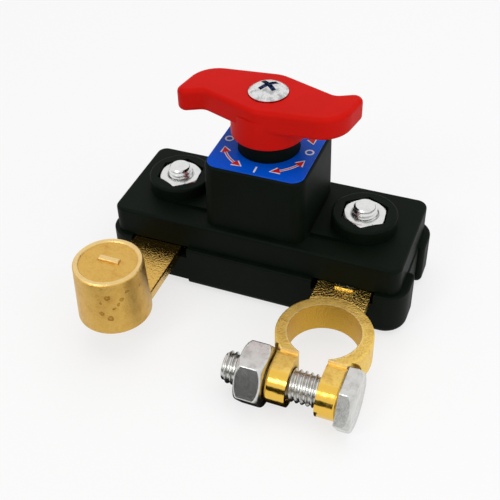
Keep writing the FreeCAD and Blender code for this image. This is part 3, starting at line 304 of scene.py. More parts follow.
class Tree:
    """A node tree that is filled from Python expressions."""

    def __init__(self, owner):
        owner.use_nodes = True
        self.tree = owner.node_tree
        self.tree.nodes.clear()

    def node(self, kind, settings=None, inputs=None, output=0):
        """Adds a node, sets it up, feeds its sockets and gives one of its outputs."""
        node = self.tree.nodes.new(kind)
        for name, value in (settings or {}).items():
            setattr(node, name, value)
        for name, value in (inputs or {}).items():
            socket = node.inputs[name]
            if isinstance(value, Wire):
                self.tree.links.new(value.socket, socket)
            else:
                socket.default_value = value
        return Wire(self, node.outputs[output]) if node.outputs else None

    def mix(self, factor, first, second):
        """Mixes two colours."""
        inputs = {0: factor, 6: solid(first), 7: solid(second)}
        return self.node("ShaderNodeMix", {"data_type": "RGBA"}, inputs, 2)

    def place(self):
        """Position in the object's own frame."""
        return self.node("ShaderNodeTexCoord", output="Object")

    def axes(self, vector):
        """The three parts of a position, in millimetres."""
        scaled = self.node("ShaderNodeVectorMath", {"operation": "SCALE"},
                           {"Vector": vector, "Scale": 1 / MM})
        return [self.node("ShaderNodeSeparateXYZ", inputs={"Vector": scaled}, output=i)
                for i in range(3)]

    def shift(self, vector, amount, reach):
        """Moves a position by a random vector, by up to the reach in millimetres."""
        level = self.node("ShaderNodeVectorMath", {"operation": "SUBTRACT"},
                          {0: amount, 1: (0.5, 0.5, 0.5)})
        inputs = {0: level, 1: (2 * reach * MM,) * 3, 2: vector}
        return self.node("ShaderNodeVectorMath", {"operation": "MULTIPLY_ADD"}, inputs)

    def noise(self, vector, size, detail, roughness, stretch=None, output=0):
        """Noise with features of the given size in millimetres, denser where it is stretched."""
        if stretch:
            vector = self.node("ShaderNodeVectorMath", {"operation": "MULTIPLY"},
                               {0: vector, 1: stretch})
        inputs = {"Vector": vector, "Scale": 1 / (size * MM), "Detail": detail,
                  "Roughness": roughness}
        return self.node("ShaderNodeTexNoise", inputs=inputs, output=output)

    def spots(self, vector, spots):
        """Rises to 1 in the middle of each spot, given as its centre and radius in millimetres."""
        most = None
        for *centre, radius in spots:
            inputs = {0: vector, 1: [part * MM for part in centre]}
            away = self.node("ShaderNodeVectorMath", {"operation": "DISTANCE"}, inputs, "Value")
            spot = 1 - away.step(0.0, radius * MM)
            most = spot if most is None else most.most(spot)
        return most

    def bump(self, height, strength, depth):
        """A bumped normal, with the depth in millimetres."""
        return self.node("ShaderNodeBump", inputs={"Height": height, "Strength": strength,
                                                   "Distance": depth * MM})


def solid(value):
    """A colour with its alpha, or the wire as it is."""
    return value if isinstance(value, Wire) else (*value, 1.0)


class Finish(Tree):
    """A new material and its nodes."""

    def __init__(self, name):
        self.material = bpy.data.materials.new(name)
        super().__init__(self.material)

    def close(self, **sockets):
        """Ends with a Principled shader, whose sockets go by names such as base_color."""
        inputs = {}
        for name, value in sockets.items():
            label = name.replace("_", " ").title().replace("Ior", "IOR")
            inputs[label] = solid(value) if label.endswith("Color") else value
        return self.end(self.node("ShaderNodeBsdfPrincipled", inputs=inputs))

    def end(self, shader):
        """Ends with the given shader and gives the material."""
        self.node("ShaderNodeOutputMaterial", inputs={"Surface": shader})
        return self.material


# Finishes

def scaled(tone, share):
    """A colour made lighter or darker."""
    return [part * share for part in tone]


def deepened(tone, share):
    """A metal's colour where light leaves it after more than one bounce."""
    return [part ** 1.5 * share for part in tone]


def black_plastic(name, tone):
    """Satin moulded plastic with a fine spark-eroded grain, a few scuffs and soft patches."""
    finish = Finish(name)
    place = finish.place()
    grain = finish.noise(place, size=0.16, detail=2.0, roughness=0.5)
    patches = finish.noise(place, size=7.0, detail=4.0, roughness=0.6)
    scuffs = finish.noise(place, size=2.4, detail=5.0, roughness=0.75, stretch=(1.0, 5.0, 0.4))
    scuffs = scuffs.step(0.62, 0.74)
    light = [part * 2.0 + 0.001 for part in tone]
    base = finish.mix(patches.step(0.35, 0.75) * 0.30 + scuffs * 0.22, tone, light)
    rough = 0.44 + grain * 0.10 + patches * 0.10 + scuffs * 0.08
    normal = finish.bump(grain + scuffs * 0.3, strength=0.35, depth=0.03)
    return finish.close(base_color=base, roughness=rough, normal=normal, specular_ior_level=0.06)


def red_plastic(name, tone):
    """Satin moulded plastic with a light orange-peel skin and faint handling marks."""
    finish = Finish(name)
    place = finish.place()
    peel = finish.noise(place, size=0.55, detail=2.0, roughness=0.5)
    grain = finish.noise(place, size=0.14, detail=1.0, roughness=0.5)
    patches = finish.noise(place, size=9.0, detail=3.0, roughness=0.55)
    marks = finish.noise(place, size=1.6, detail=5.0, roughness=0.8, stretch=(0.5, 3.0, 1.0))
    marks = marks.step(0.64, 0.74)
    deep = scaled(tone, 0.78)
    base = finish.mix(patches.step(0.3, 0.8) * 0.35 + grain * 0.12, tone, deep)
    rough = 0.40 + peel * 0.12 + marks * 0.10
    normal = finish.bump(peel + grain * 0.4, strength=0.30, depth=0.03)
    return finish.close(base_color=base, roughness=rough, normal=normal, specular_ior_level=0.07)


def film(name, tone, rough_from):
    """Printed film or ink with a faint screen grain."""
    finish = Finish(name)
    place = finish.place()
    grain = finish.noise(place, size=0.20, detail=2.0, roughness=0.6)
    cloud = finish.noise(place, size=5.0, detail=3.0, roughness=0.5)
    deep = scaled(tone, 0.85)
    base = finish.mix(grain * 0.35 + cloud.step(0.3, 0.8) * 0.35, tone, deep)
    rough = rough_from + grain * 0.08
    normal = finish.bump(cloud + grain * 0.2, strength=0.20, depth=0.04)
    return finish.close(base_color=base, roughness=rough, normal=normal, specular_ior_level=0.12)


def brass(name, tones, feel, body, ring=None, pits=()):
    """Cast brass, polished in front and bright on the strip behind its round body.

    Tones holds the colour, the stains and the pale brass of wear and painted highlights, and feel
    the satin's roughness and the relief of the body's and of the strip's grain. Body holds the end
    of the polish along Y, the middle and radius of the round body and the level that edges with
    wear and painted highlights stand above. Ring holds a bore's radius and the Y of its lip. These
    and the pits are in millimetres."""
    tone, old, pale = tones
    satin, body_grain, strip_grain = feel
    polish_end, middle_x, middle_y, reach, level = body
    finish = Finish(name)
    place = finish.place()
    x, y, z = finish.axes(place)
    away = ((x - middle_x) ** 2 + (y - middle_y) ** 2).root()
    # From front to back: polished, as cast on the round body, and bright on the strip
    behind = y.step(polish_end - 0.5, polish_end + 0.5)
    polished = 1 - behind
    strip = away.step(reach + 0.05, reach + 0.25) * y.step(middle_y - 1.0, middle_y + 1.0)
    cast = behind - strip
    stains = finish.noise(place, size=2.6, detail=5.0, roughness=0.65).step(0.42, 0.74)
    grain = finish.noise(place, size=0.42, detail=1.0, roughness=0.5)
    fine = finish.noise(place, size=0.20, detail=2.0, roughness=0.6)
    dents = finish.noise(place, size=3.0, detail=2.0, roughness=0.5)
    shade = stains * (0.12 + cast * 0.30) + grain.step(0.45, 0.80) * 0.22
    base = finish.mix(shade, tone, old)
    # Painted reflection: the polished front takes a deeper gold, as of light after more than one
    # bounce
    base = finish.mix(polished * 0.8, base, deepened(tone, 0.92))
    rugged = cast * body_grain
    # Edges above the level are painted pale, partly wear and partly a painted highlight on the
    # small bars and the post's rim
    wear_and_highlight = z.step(level + 0.03, level + 0.12) * (grain * 0.5 + 0.25)
    if ring:
        bore, lip = ring
        rugged = rugged * (0.25 + y.step(lip - 0.5, lip) * 0.75)
        # The bore's inner face, painted as shade below; the pale band about the bore, partly wear
        # and partly a painted highlight; and the lip's front edge, painted pale as a highlight
        bore_shade = 1 - away.step(bore + 0.05, bore + 0.15)
        edge = 1 - away.step(bore + 0.35, bore + 0.50) - bore_shade
        front = (1 - ((y - lip) ** 2).step(0.02, 0.10)) * z.step(level - 0.6, level - 0.5)
        # On the clamp the pale paint keeps to the bore's edge, partly wear, and to the lip's front
        # and the strip's bar, painted highlights
        wear_and_highlight = (edge * 0.5).most(front).most(wear_and_highlight * strip * 2.0)
        # Painted shade: the bore is darker and a deeper gold
        base = finish.mix(bore_shade, base, deepened(tone, 0.75))
    # Painted highlight and wear: these edges take the pale brass
    base = finish.mix(wear_and_highlight * 0.8, base, pale)
    rugged = rugged + strip * strip_grain
    height = (grain * 1.6 + fine * 0.4) * rugged + dents * polished * 1.4
    if pits:
        wander = finish.noise(place, size=0.9, detail=2.0, roughness=0.5, output="Color")
        spot = finish.spots(finish.shift(place, wander, reach=0.5), pits)
        rim = spot.step(0.02, 0.30) * (1 - spot.step(0.35, 0.90) * 0.5)
        base = finish.mix(rim * 0.90, base, scaled(old, 0.70))
        height = height - spot * 0.7
    rough = 0.13 + cast * (satin - 0.13 + grain * 0.10) + fine * 0.05
    normal = finish.bump(height, strength=0.60, depth=0.12)
    return finish.close(base_color=base, roughness=rough, metallic=1.0, normal=normal)


def plated(name, tone, dull, rough_from, stretch=None):
    """Plated steel with fine marks that run one way and dull patches."""
    finish = Finish(name)
    place = finish.place()
    lines = finish.noise(place, size=0.5, detail=3.0, roughness=0.7, stretch=stretch)
    patches = finish.noise(place, size=2.2, detail=4.0, roughness=0.65)
    specks = finish.noise(place, size=0.25, detail=2.0, roughness=0.6)
    wear = patches.step(0.42, 0.72) * 0.75 + specks.step(0.55, 0.80) * 0.25
    base = finish.mix(wear, tone, dull)
    rough = rough_from + lines * 0.10 + patches * 0.10
    normal = finish.bump(lines + specks * 0.4 + patches, strength=0.30, depth=0.06)
    return finish.close(base_color=base, roughness=rough, metallic=1.0, normal=normal)


def screw_chrome(name, tone, paint, paint_level, paint_radius):
    """Bright plating with blue paint left in the recess of the knob's screw."""
    finish = Finish(name)
    place = finish.place()
    x, y, z = finish.axes(place)
    patches = finish.noise(place, size=1.4, detail=4.0, roughness=0.6)
    lines = finish.noise(place, size=0.30, detail=3.0, roughness=0.7)
    radius = (x ** 2 + y ** 2).root()
    inside = 1 - radius.step(paint_radius - 0.1, paint_radius + 0.1)
    low = 1 - (z + patches * 0.3).step(paint_level - 0.05, paint_level + 0.15)
    painted = inside * low
    dull = scaled(tone, 0.45)
    base = finish.mix(patches.step(0.38, 0.68) * 0.85, tone, dull)
    base = finish.mix(painted, base, paint)
    rough = 0.10 + lines * 0.10 + patches * 0.06 + painted * 0.25
    normal = finish.bump(lines + patches, strength=0.35, depth=0.10)
    return finish.close(base_color=base, roughness=rough, metallic=1 - painted, normal=normal)


def soft_black(name, tone, rough_from):
    """Matt nylon or rubber with a mould grain."""
    finish = Finish(name)
    place = finish.place()
    grain = finish.noise(place, size=0.25, detail=3.0, roughness=0.6)
    patches = finish.noise(place, size=4.0, detail=3.0, roughness=0.6)
    light = scaled(tone, 2.0)
    base = finish.mix(patches * 0.5, tone, light)
    normal = finish.bump(grain, strength=0.3, depth=0.04)
    return finish.close(base_color=base, roughness=rough_from + grain * 0.15, normal=normal,
                        specular_ior_level=0.3)


def dress(material, *nodes):
    """Gives CAD nodes their finish."""
    for node in nodes:
        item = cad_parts[node]
        if not item.material_slots:
            item.data.materials.append(material)
        for slot in item.material_slots:
            slot.material = material


def new_piece(name, mesh, material):
    """Adds a mesh to the scene as a piece that rides on the housing."""
    mesh.materials.append(material)
    piece = bpy.data.objects.new(name, mesh)
    bpy.context.scene.collection.objects.link(piece)
    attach(piece, "housing")
    return piece


def middle(node):
    low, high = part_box(node)
    return (low + high) / 2


def in_millimetres(sizes):
    return [size / MM for size in sizes]


# Hexagons and threads, each made upright about Z and then laid in its place

def add_rings(work, rings, tube=False):
    """Joins rings of points into a closed skin, or into a tube whose last ring meets its first."""
    rows = [[work.verts.new(point) for point in ring] for ring in rings]
    if tube:
        rows.append(rows[0])
    else:
        work.faces.new(list(reversed(rows[0])))
        work.faces.new(rows[-1])
    count = len(rows[0])
    for low, high in zip(rows, rows[1:]):
        for i in range(count):
            j = (i + 1) % count
            work.faces.new((low[i], low[j], high[j], high[i]))


def circle_points(radius, height, count, start):
    turns = [start + 2 * math.pi * i / count for i in range(count)]
    return [Vector((radius * math.cos(t), radius * math.sin(t), height)) for t in turns]


def add_thread(work, low, high, root, crest, pitch, point):
    """A screw thread whose edges follow its helix, with a bevelled upper end."""

    def vertex(rise, reach, j):
        height = low + pitch * (rise + j / THREAD_AROUND)
        radius = reach if height > low else root
        height = min(max(height, low), high)
        radius = min(radius, crest - POINT_SLOPE * max(0.0, point - (high - height)))
        at = 2 * math.pi * j / THREAD_AROUND
        return work.verts.new((radius * math.cos(at), radius * math.sin(at), height))

    profile = [(share, crest) for share in CREST_SHARES]
    profile += [(share, root) for share in ROOT_SHARES]
    rows = []
    for turn in range(-1, math.ceil((high - low) / pitch) + 2):
        for share, reach in profile:
            rows.append([vertex(turn + share, reach, j) for j in range(THREAD_AROUND)])
    made = [vertex for row in rows for vertex in row]
    # One turn on, a row meets the row of the next turn
    step = len(profile)
    for i in range(len(rows) - step - 1):
        below = rows[i] + rows[i + step][:1]
        above = rows[i + 1] + rows[i + 1 + step][:1]
        for j in range(THREAD_AROUND):
            work.faces.new((below[j], below[j + 1], above[j + 1], above[j]))
    loose = [vertex for vertex in made if not vertex.link_faces]
    bmesh.ops.delete(work, geom=loose)
    used = [vertex for vertex in made if vertex.is_valid]
    bmesh.ops.remove_doubles(work, verts=used, dist=MERGE_REACH)
    rims = [edge for edge in work.edges if edge.is_boundary]
    bmesh.ops.holes_fill(work, edges=rims)


def add_hexagon(work, flats, low, high, face_share, turn, bore=0.0, mouth=0.0):
    """A nut with a bore and corners rounded off at both ends, or a head rounded off below."""
    face = flats * face_share
    half_side = math.pi / HEX_SIDES
    outer = []
    for j in range(HEX_AROUND):
        at = 2 * math.pi * j / HEX_AROUND
        side = (at + half_side) % (2 * half_side) - half_side
        reach = flats / 2 / math.cos(half_side - abs(side))
        drop = CORNER_SLOPE * (reach - face) + CORNER_CURVE * (reach - face) ** 2 / MM
        outer.append((at + turn, reach, drop))

    def ring(height, sign, share):
        points = []
        for at, reach, drop in outer:
            radius = face + (reach - face) * share
            rise = sign * drop * share * share
            points.append(Vector((radius * math.cos(at), radius * math.sin(at), height + rise)))
        return points

    rings = [ring(low, 1, share) for share in CORNER_SHARES]
    if bore:
        rings += [ring(high, -1, share) for share in reversed(CORNER_SHARES)]
        inside = ((bore + mouth, high), (bore, high - mouth), (bore, low + mouth),
                  (bore + mouth, low))
        rings += [circle_points(radius, height, HEX_AROUND, turn) for radius, height in inside]
    else:
        rings += [ring(high, 0, share) for share in (1.0, 0.0)]
    add_rings(work, rings, tube=bool(bore))
    weigh_edges(work)


def weigh_edges(work):
    """Marks the sharp edges that the rounding acts on."""
    layer = work.edges.layers.float.new("bevel_weight_edge")
    work.normal_update()
    for edge in work.edges:
        if len(edge.link_faces) == 2 and edge.calc_face_angle() > ROUNDED_ANGLE:
            edge[layer] = 1.0


def finish_mesh(name, work, placement):
    """Turns the work into a mesh in its place, smooth but for its sharp edges."""
    bmesh.ops.transform(work, matrix=placement, verts=work.verts)
    bmesh.ops.recalc_face_normals(work, faces=work.faces)
    for face in work.faces:
        face.smooth = True
    for edge in work.edges:
        if len(edge.link_faces) == 2 and edge.calc_face_angle() > SHARP_ANGLE:
            edge.smooth = False
    mesh = bpy.data.meshes.new(name)
    work.to_mesh(mesh)
    work.free()
    return mesh


def seat_fastener(node, name, work, placement, steel, edge_width):
    """Adds the work as a piece with rounded edges, in the place of a CAD node."""
    piece = new_piece(name, finish_mesh(name, work, placement), steel)
    bevel = piece.modifiers.new("edge_rounding", "BEVEL")
    bevel.width = edge_width
    bevel.segments = 2
    bevel.limit_method = "WEIGHT"
    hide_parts(node)


def make_bolt(node, name, hexagon, thread, placement, steel, sizes):
    """A bolt with its head below the placement's middle and its thread above it."""
    flats, head, turn = hexagon
    root, crest, pitch, reach = thread
    work = bmesh.new()
    add_hexagon(work, flats, -head, 0.0, sizes.face_share, turn)
    add_thread(work, -THREAD_LAP, reach, root, crest, pitch, sizes.point)
    seat_fastener(node, name, work, placement, steel, sizes.edge_width)


def make_nut(node, name, hexagon, crest, placement, steel, sizes):
    """A nut that is just wider inside than the crest of its bolt's thread."""
    flats, low, high, turn = hexagon
    work = bmesh.new()
    add_hexagon(work, flats, low, high, sizes.face_share, turn, crest + NUT_GAP, sizes.mouth)
    seat_fastener(node, name, work, placement, steel, sizes.edge_width)


# Operators

class SWITCH_OT_housing(bpy.types.Operator):
    """Finish both halves of the housing"""
    bl_idname = "disconnect_switch.housing"
    bl_label = "Housing"

    def execute(self, context):
        colours = context.scene.disconnect_switch.colours
        material = black_plastic("housing_plastic", colours.housing)
        dress(material, "upper_housing", "lower_housing")
        return {"FINISHED"}


class SWITCH_OT_knob(bpy.types.Operator):
    """Finish the knob and the screw that holds it"""
    bl_idname = "disconnect_switch.knob"
    bl_label = "Knob and its screw"

    def execute(self, context):
        settings = context.scene.disconnect_switch
        sizes = settings.fasteners
        colours = settings.colours
        dress(red_plastic("knob_plastic", colours.knob), "knob")
        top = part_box("knob_screw")[1].z
        paint = in_millimetres((top - sizes.paint_depth, sizes.paint_radius))
        dress(screw_chrome("screw_chrome", colours.chrome, colours.paint, *paint), "knob_screw")
        return {"FINISHED"}


class SWITCH_OT_label(bpy.types.Operator):
    """Finish the label plate and print its marks"""
    bl_idname = "disconnect_switch.label"
    bl_label = "Label and its marks"

    def execute(self, context):
        settings = context.scene.disconnect_switch
        prints = settings.prints
        colours = settings.colours
        dress(film("label_film", colours.label, rough_from=0.24), "label_plate")
        white = film("white_ink", colours.white_ink, rough_from=0.34)
        red = film("red_ink", colours.red_ink, rough_from=0.34)
        edges = [self.arrow(prints, quarter, prints.outline) for quarter in range(4)]
        fills = [self.arrow(prints, quarter, 0.0) for quarter in range(4)]
        marks = [self.on_mark(prints, side) for side in (-1, 1)]
        rings = [self.off_mark(prints, side) for side in (-1, 1)]
        ink = prints.ink_height
        layers = (
            ("arrow_edges", edges, ink * prints.outline_share, white),
            ("arrow_fills", fills, ink, red),
            ("on_marks", marks, ink, white),
            ("off_marks", rings, ink, white),
        )
        for name, shapes, height, material in layers:
            self.print_shapes(name, shapes, height, prints.turn, material)
        return {"FINISHED"}

    @staticmethod
    def arrow(prints, quarter, grow):
        """The outline of a curved arrow with a head at each end, grown for its white edge."""
        radius = prints.arrow_radius
        tip = grow * TIP_GROWTH / radius
        first = prints.arrow_start - tip
        last = prints.arrow_end + tip
        head = prints.head_angle + grow * HEAD_GROWTH / radius
        shaft = prints.shaft_width + grow
        wide = prints.head_width + grow * BARB_GROWTH
        span = last - first - 2 * head
        turns = [first + head + span * i / ARROW_STEPS for i in range(ARROW_STEPS + 1)]
        points = [(radius, first), (radius - wide, first + head)]
        points += [(radius - shaft, turn) for turn in turns]
        points += [(radius - wide, last - head), (radius, last), (radius + wide, last - head)]
        points += [(radius + shaft, turn) for turn in reversed(turns)]
        points += [(radius + wide, first + head)]
        shift = quarter * math.pi / 2
        return [(r * math.cos(t + shift), r * math.sin(t + shift)) for r, t in points], ()

    @staticmethod
    def on_mark(prints, side):
        """A plain upright bar, in front of the knob or behind it."""
        reach = prints.on_reach * side
        tall = prints.mark_size
        half = prints.mark_stroke
        corners = [(-half, -tall), (half, -tall), (half, tall), (-half, tall)]
        return [(x, reach + y) for x, y in corners], ()

    @staticmethod
    def off_mark(prints, side):
        """A plain ring, at the left or the right of the knob."""
        reach = prints.off_reach * side
        turns = [2 * math.pi * i / RING_STEPS for i in range(RING_STEPS)]
        return [[(reach + radius * math.cos(turn), radius * math.sin(turn)) for turn in turns]
                for radius in (prints.mark_size, prints.mark_size - prints.mark_stroke * 2)]

    @staticmethod
    def print_shapes(name, shapes, height, turn, material):
        """Adds flat shapes, each an outline and its hole, as a thin layer of ink on the label."""
        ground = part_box("label_plate")[1].z
        work = bmesh.new()
        for outline, hole in shapes:
            rings = [[(x, y, ground) for x, y in outline],
                     [(x, y, ground + height) for x, y in outline]]
            if hole:
                rings += [[(x, y, ground + height) for x, y in hole],
                          [(x, y, ground) for x, y in hole]]
            add_rings(work, rings, tube=bool(hole))
        bmesh.ops.triangulate(work, faces=work.faces)
        mesh = finish_mesh(name, work, Matrix.Rotation(turn, 4, "Z"))
        new_piece(name, mesh, material)


class SWITCH_OT_brackets(bpy.types.Operator):
    """Finish the brass post and the brass clamp ring"""
    bl_idname = "disconnect_switch.brackets"
    bl_label = "Brass brackets"

    def execute(self, context):
        settings = context.scene.disconnect_switch
        sizes = settings.brackets
        colours = settings.colours
        bolt = middle("clamp_nut").y
        body = (bolt - sizes.polish_start, middle("right_housing_bolt").x,
                bolt + sizes.ring_behind, sizes.ring_radius,
                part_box("clamp_bracket")[1].z - sizes.bar_height)
        ring = (sizes.bore_radius, bolt + sizes.lip_behind)
        feel = (sizes.ring_satin, sizes.ring_grain, sizes.ring_strip_grain)
        tones = (colours.brass, colours.old_brass, colours.wear_and_highlight_brass)
        clamp = brass("clamp_brass", tones, feel, in_millimetres(body), in_millimetres(ring))
        dress(clamp, "clamp_bracket")
        # The post isn't polished, so its polish would begin in front of it
        low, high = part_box("post_bracket")
        radius = sizes.post_radius
        body = (low.y - sizes.polish_start, low.x + radius, low.y + radius, radius,
                high.z - sizes.mark_height)
        feel = (sizes.post_satin, sizes.post_grain, sizes.post_strip_grain)
        tones = (colours.post_brass, colours.old_brass, colours.wear_and_highlight_brass)
        post = brass("post_brass", tones, feel, in_millimetres(body), pits=POST_PITS)
        dress(post, "post_bracket")
        return {"FINISHED"}


class SWITCH_OT_clamp_bolt(bpy.types.Operator):
    """Make the threaded clamp bolt and its nut"""
    bl_idname = "disconnect_switch.clamp_bolt"
    bl_label = "Clamp bolt and nut"

    def execute(self, context):
        settings = context.scene.disconnect_switch
        sizes = settings.fasteners
        colours = settings.colours
        steel = plated("clamp_zinc", colours.zinc, colours.dull_zinc, rough_from=0.13,
                       stretch=(1.0, 6.0, 6.0))
        # Upright, the bolt's head is at the foot, and its turn about Z becomes one about X
        laid = Matrix.Rotation(math.radians(-90), 4, "Y")
        turn = math.pi / HEX_SIDES - sizes.clamp_turn
        centre = middle("clamp_nut")
        low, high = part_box("clamp_bolt")
        foot = Vector((high.x - sizes.clamp_head, centre.y, centre.z))
        reach = high.x - low.x - sizes.clamp_head
        make_bolt("clamp_bolt", "clamp_screw", (sizes.clamp_flats, sizes.clamp_head, turn),
                  (sizes.clamp_root, sizes.clamp_crest, sizes.clamp_pitch, reach),
                  Matrix.Translation(foot) @ laid, steel, sizes)
        low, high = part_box("clamp_nut")
        foot = Vector((high.x, centre.y, centre.z))
        make_nut("clamp_nut", "clamp_hexagon", (sizes.clamp_flats, 0.0, high.x - low.x, turn),
                 sizes.clamp_crest, Matrix.Translation(foot) @ laid, steel, sizes)
        return {"FINISHED"}


class SWITCH_OT_housing_bolts(bpy.types.Operator):
    """Make the two threaded housing bolts and their nuts, and finish their washers"""
    bl_idname = "disconnect_switch.housing_bolts"
    bl_label = "Housing bolts and nuts"

    def execute(self, context):
        settings = context.scene.disconnect_switch
        sizes = settings.fasteners
        colours = settings.colours
        steel = plated("housing_zinc", colours.chrome, colours.zinc, rough_from=0.16,
                       stretch=(1.0, 1.0, 5.0))
        dress(steel, "left_washer", "right_washer")
        for side in ("left", "right"):
            centre = middle(f"{side}_housing_bolt")
            low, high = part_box(f"{side}_housing_bolt")
            foot = Vector((centre.x, centre.y, low.z + sizes.housing_head))
            make_bolt(f"{side}_housing_bolt", f"{side}_housing_screw",
                      (sizes.housing_flats, sizes.housing_head, 0.0),
                      (sizes.housing_root, sizes.housing_crest, sizes.housing_pitch,
                       high.z - foot.z),
                      Matrix.Translation(foot), steel, sizes)
            low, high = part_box(f"{side}_housing_nut")
            axis = Matrix.Translation((centre.x, centre.y, 0.0))
            make_nut(f"{side}_housing_nut", f"{side}_housing_hexagon",
                     (sizes.housing_flats, low.z, high.z, sizes.nut_turn), sizes.housing_crest,
                     axis, steel, sizes)
        return {"FINISHED"}


class SWITCH_OT_contacts(bpy.types.Operator):
    """Finish the contacts, the bridge and the spring and clip that hold it"""
    bl_idname = "disconnect_switch.contacts"
    bl_label = "Contacts"

    def execute(self, context):
        colours = context.scene.disconnect_switch.colours
        dull = scaled(colours.copper, 0.6)
        copper = plated("contact_copper", colours.copper, dull, rough_from=0.22,
                        stretch=(1.0, 4.0, 1.0))
        dress(copper, "post_contact", "clamp_contact", "contact_bridge")
        spring = plated("spring_steel", colours.zinc, colours.dull_zinc, rough_from=0.20,
                        stretch=(1.0, 1.0, 3.0))
        dress(spring, "contact_spring", "retaining_clip")
        return {"FINISHED"}


class SWITCH_OT_rotor(bpy.types.Operator):
    """Finish the rotor, its seal and the detent balls and springs"""
    bl_idname = "disconnect_switch.rotor"
    bl_label = "Rotor and detents"

    def execute(self, context):
        colours = context.scene.disconnect_switch.colours
        dress(soft_black("rotor_nylon", colours.nylon, rough_from=0.40), "rotor")
        dress(soft_black("seal_rubber", colours.rubber, rough_from=0.60), "rotor_seal")
        dull = scaled(colours.chrome, 0.7)
        bright = plated("detent_steel", colours.chrome, dull, rough_from=0.08)
        dress(bright, "back_detent_ball", "front_detent_ball", "back_detent_spring",
              "front_detent_spring")
        return {"FINISHED"}


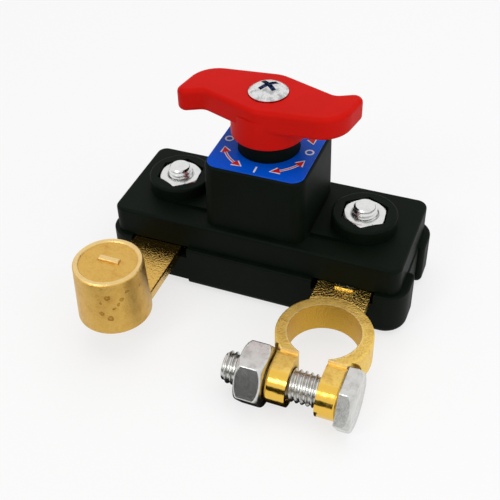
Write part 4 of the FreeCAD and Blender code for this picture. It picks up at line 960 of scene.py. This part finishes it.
class SWITCH_OT_studio(bpy.types.Operator):
    """Set up the camera, the lamps, the floor and the white surroundings"""
    bl_idname = "disconnect_switch.studio"
    bl_label = "Studio"

    def execute(self, context):
        scene = context.scene
        studio = scene.disconnect_switch.studio
        scene.view_settings.view_transform = "Standard"
        self.add_camera(scene, studio)
        ground = CAD_BOX[0].z - FLOOR_GAP
        self.add_floor(scene, studio, ground)
        self.add_world(scene, studio)
        flat = ground + CARD_LIFT
        self.add_card(scene, "front_card", studio.card, [Vector(at) * MM for at in FRONT_CARD])
        # The clamp's card is a painted shadow: the floor under the clamp, dark as reflections see
        # it
        self.add_card(scene, "clamp_shadow_card", studio.card,
                      [Vector((x * MM, y * MM, flat)) for x, y in CLAMP_SHADOW_CARD])
        # Each lamp's name, power, place and side in metres, and whether reflections show it
        lamps = (
            ("key_lamp", studio.key, (-0.18, -0.48, 0.445), 0.16, True),
            ("fill_lamp", studio.fill, (0.46, -0.20, 0.36), 0.50, False),
            ("top_lamp", studio.top, (0.05, 0.12, 0.62), 0.70, False),
        )
        for name, watts, place, side, mirrored in lamps:
            self.add_lamp(scene, name, watts, Vector(place), side, mirrored)
        return {"FINISHED"}

    @staticmethod
    def add_camera(scene, studio):
        """The camera, where the photograph's view was solved to be."""
        back = Vector((math.sin(studio.azimuth) * math.cos(studio.elevation),
                       -math.cos(studio.azimuth) * math.cos(studio.elevation),
                       math.sin(studio.elevation)))
        level = Vector((math.cos(studio.azimuth), math.sin(studio.azimuth), 0.0))
        upright = back.cross(level)
        right = level * math.cos(studio.roll) + upright * math.sin(studio.roll)
        up = upright * math.cos(studio.roll) - level * math.sin(studio.roll)
        aim = Vector((0.0, 0.0, studio.height))
        place = aim + right * studio.aside + up * studio.above + back * studio.distance
        data = bpy.data.cameras.new("photo_camera")
        data.lens = studio.lens
        data.shift_x = studio.shift_x
        data.shift_y = studio.shift_y
        data.clip_start = 10 * MM
        data.dof.use_dof = False
        camera = bpy.data.objects.new("photo_camera", data)
        turn = Matrix((right, up, back)).transposed()
        camera.matrix_world = Matrix.Translation(place) @ turn.to_4x4()
        scene.collection.objects.link(camera)
        scene.camera = camera

    @staticmethod
    def add_lamp(scene, name, watts, place, side, mirrored):
        """A square lamp that faces the middle of the housing's foot."""
        data = bpy.data.lights.new(name, "AREA")
        data.shape = "SQUARE"
        data.size = side
        data.energy = watts
        lamp = bpy.data.objects.new(name, data)
        lamp.visible_glossy = mirrored
        lamp.location = place
        lamp.rotation_euler = place.to_track_quat("Z", "Y").to_euler()
        scene.collection.objects.link(lamp)

    @staticmethod
    def add_sheet(scene, name, material, corners):
        """Adds one flat face that belongs to the studio."""
        mesh = bpy.data.meshes.new(name)
        mesh.from_pydata(corners, [], [(0, 1, 2, 3)])
        mesh.materials.append(material)
        sheet = bpy.data.objects.new(name, mesh)
        scene.collection.objects.link(sheet)
        return sheet

    @staticmethod
    def seen_white(tree):
        """Is 1 where a ray comes from the camera, a reflection or a clear body."""
        path = [tree.node("ShaderNodeLightPath", output=name)
                for name in ("Is Camera Ray", "Is Glossy Ray", "Is Transmission Ray")]
        return path[0].most(path[1]).most(path[2])

    def add_floor(self, scene, studio, ground):
        """A floor of pale paper that is whiter where it is seen, and keeps the shadow."""
        tree = Finish("floor_paper")
        tones = (studio.floor, scaled(studio.floor, 0.97))
        papers = [tree.node("ShaderNodeBsdfDiffuse", inputs={"Color": solid(tone)})
                  for tone in tones]
        fibre = tree.noise(tree.place(), size=3.0, detail=3.0, roughness=0.5) * 0.1
        paper = tree.node("ShaderNodeMixShader", inputs={0: fibre, 1: papers[0], 2: papers[1]})
        white = tree.node("ShaderNodeEmission", inputs={"Color": solid(WHITE)})
        share = self.seen_white(tree) * studio.floor_white
        mixed = tree.node("ShaderNodeMixShader", inputs={0: share, 1: paper, 2: white})
        corners = [(x * FLOOR_REACH, y * FLOOR_REACH, ground)
                   for x, y in ((-1, -1), (1, -1), (1, 1), (-1, 1))]
        self.add_sheet(scene, "floor", tree.end(mixed), corners)

    def add_card(self, scene, name, tone, corners):
        """A dark card that only reflections see, which gives the metal its dark bands."""
        tree = Finish(name)
        cloth = tree.node("ShaderNodeBsdfDiffuse", inputs={"Color": solid(tone)})
        card = self.add_sheet(scene, name, tree.end(cloth), corners)
        card.visible_camera = False
        card.visible_diffuse = False
        card.visible_shadow = False
        card.visible_transmission = False

    def add_world(self, scene, studio):
        """White surroundings where they are seen, and softer ones where they only light."""
        world = bpy.data.worlds.new("studio_world")
        scene.world = world
        tree = Tree(world)
        soft, white = [
            tree.node("ShaderNodeBackground", inputs={"Color": solid(WHITE), "Strength": strength})
            for strength in (studio.ambient, 1.0)
        ]
        mixed = tree.node("ShaderNodeMixShader",
                          inputs={0: self.seen_white(tree), 1: soft, 2: white})
        tree.node("ShaderNodeOutputWorld", inputs={"Surface": mixed})


PIECES = (SWITCH_OT_housing, SWITCH_OT_knob, SWITCH_OT_label, SWITCH_OT_brackets,
          SWITCH_OT_clamp_bolt, SWITCH_OT_housing_bolts, SWITCH_OT_contacts, SWITCH_OT_rotor,
          SWITCH_OT_studio)


class SWITCH_PT_sidebar(bpy.types.Panel):
    """Buttons for each piece of the switch, and its settings"""
    bl_idname = "SWITCH_PT_sidebar"
    bl_label = "Disconnect switch"
    bl_space_type = "VIEW_3D"
    bl_region_type = "UI"
    bl_category = "Switch"

    def draw(self, context):
        settings = context.scene.disconnect_switch
        for piece in PIECES:
            self.layout.operator(piece.bl_idname)
        for group in (settings.fasteners, settings.brackets, settings.prints, settings.colours,
                      settings.studio):
            box = self.layout.box()
            for name in group.bl_rna.properties.keys():
                if name not in ("rna_type", "name"):
                    box.prop(group, name)


CLASSES = (SwitchFasteners, SwitchBrackets, SwitchPrints, SwitchColours, SwitchStudio,
           SwitchSettings, *PIECES, SWITCH_PT_sidebar)


def register():
    for item in CLASSES:
        bpy.utils.register_class(item)
    bpy.types.Scene.disconnect_switch = bpy.props.PointerProperty(type=SwitchSettings)


def unregister():
    del bpy.types.Scene.disconnect_switch
    for item in reversed(CLASSES):
        bpy.utils.unregister_class(item)


def main():
    register()
    actions = bpy.ops.disconnect_switch
    actions.housing()
    actions.knob()
    actions.label()
    actions.brackets()
    actions.clamp_bolt()
    actions.housing_bolts()
    actions.contacts()
    actions.rotor()
    actions.studio()


if __name__ == "__main__":
    main()
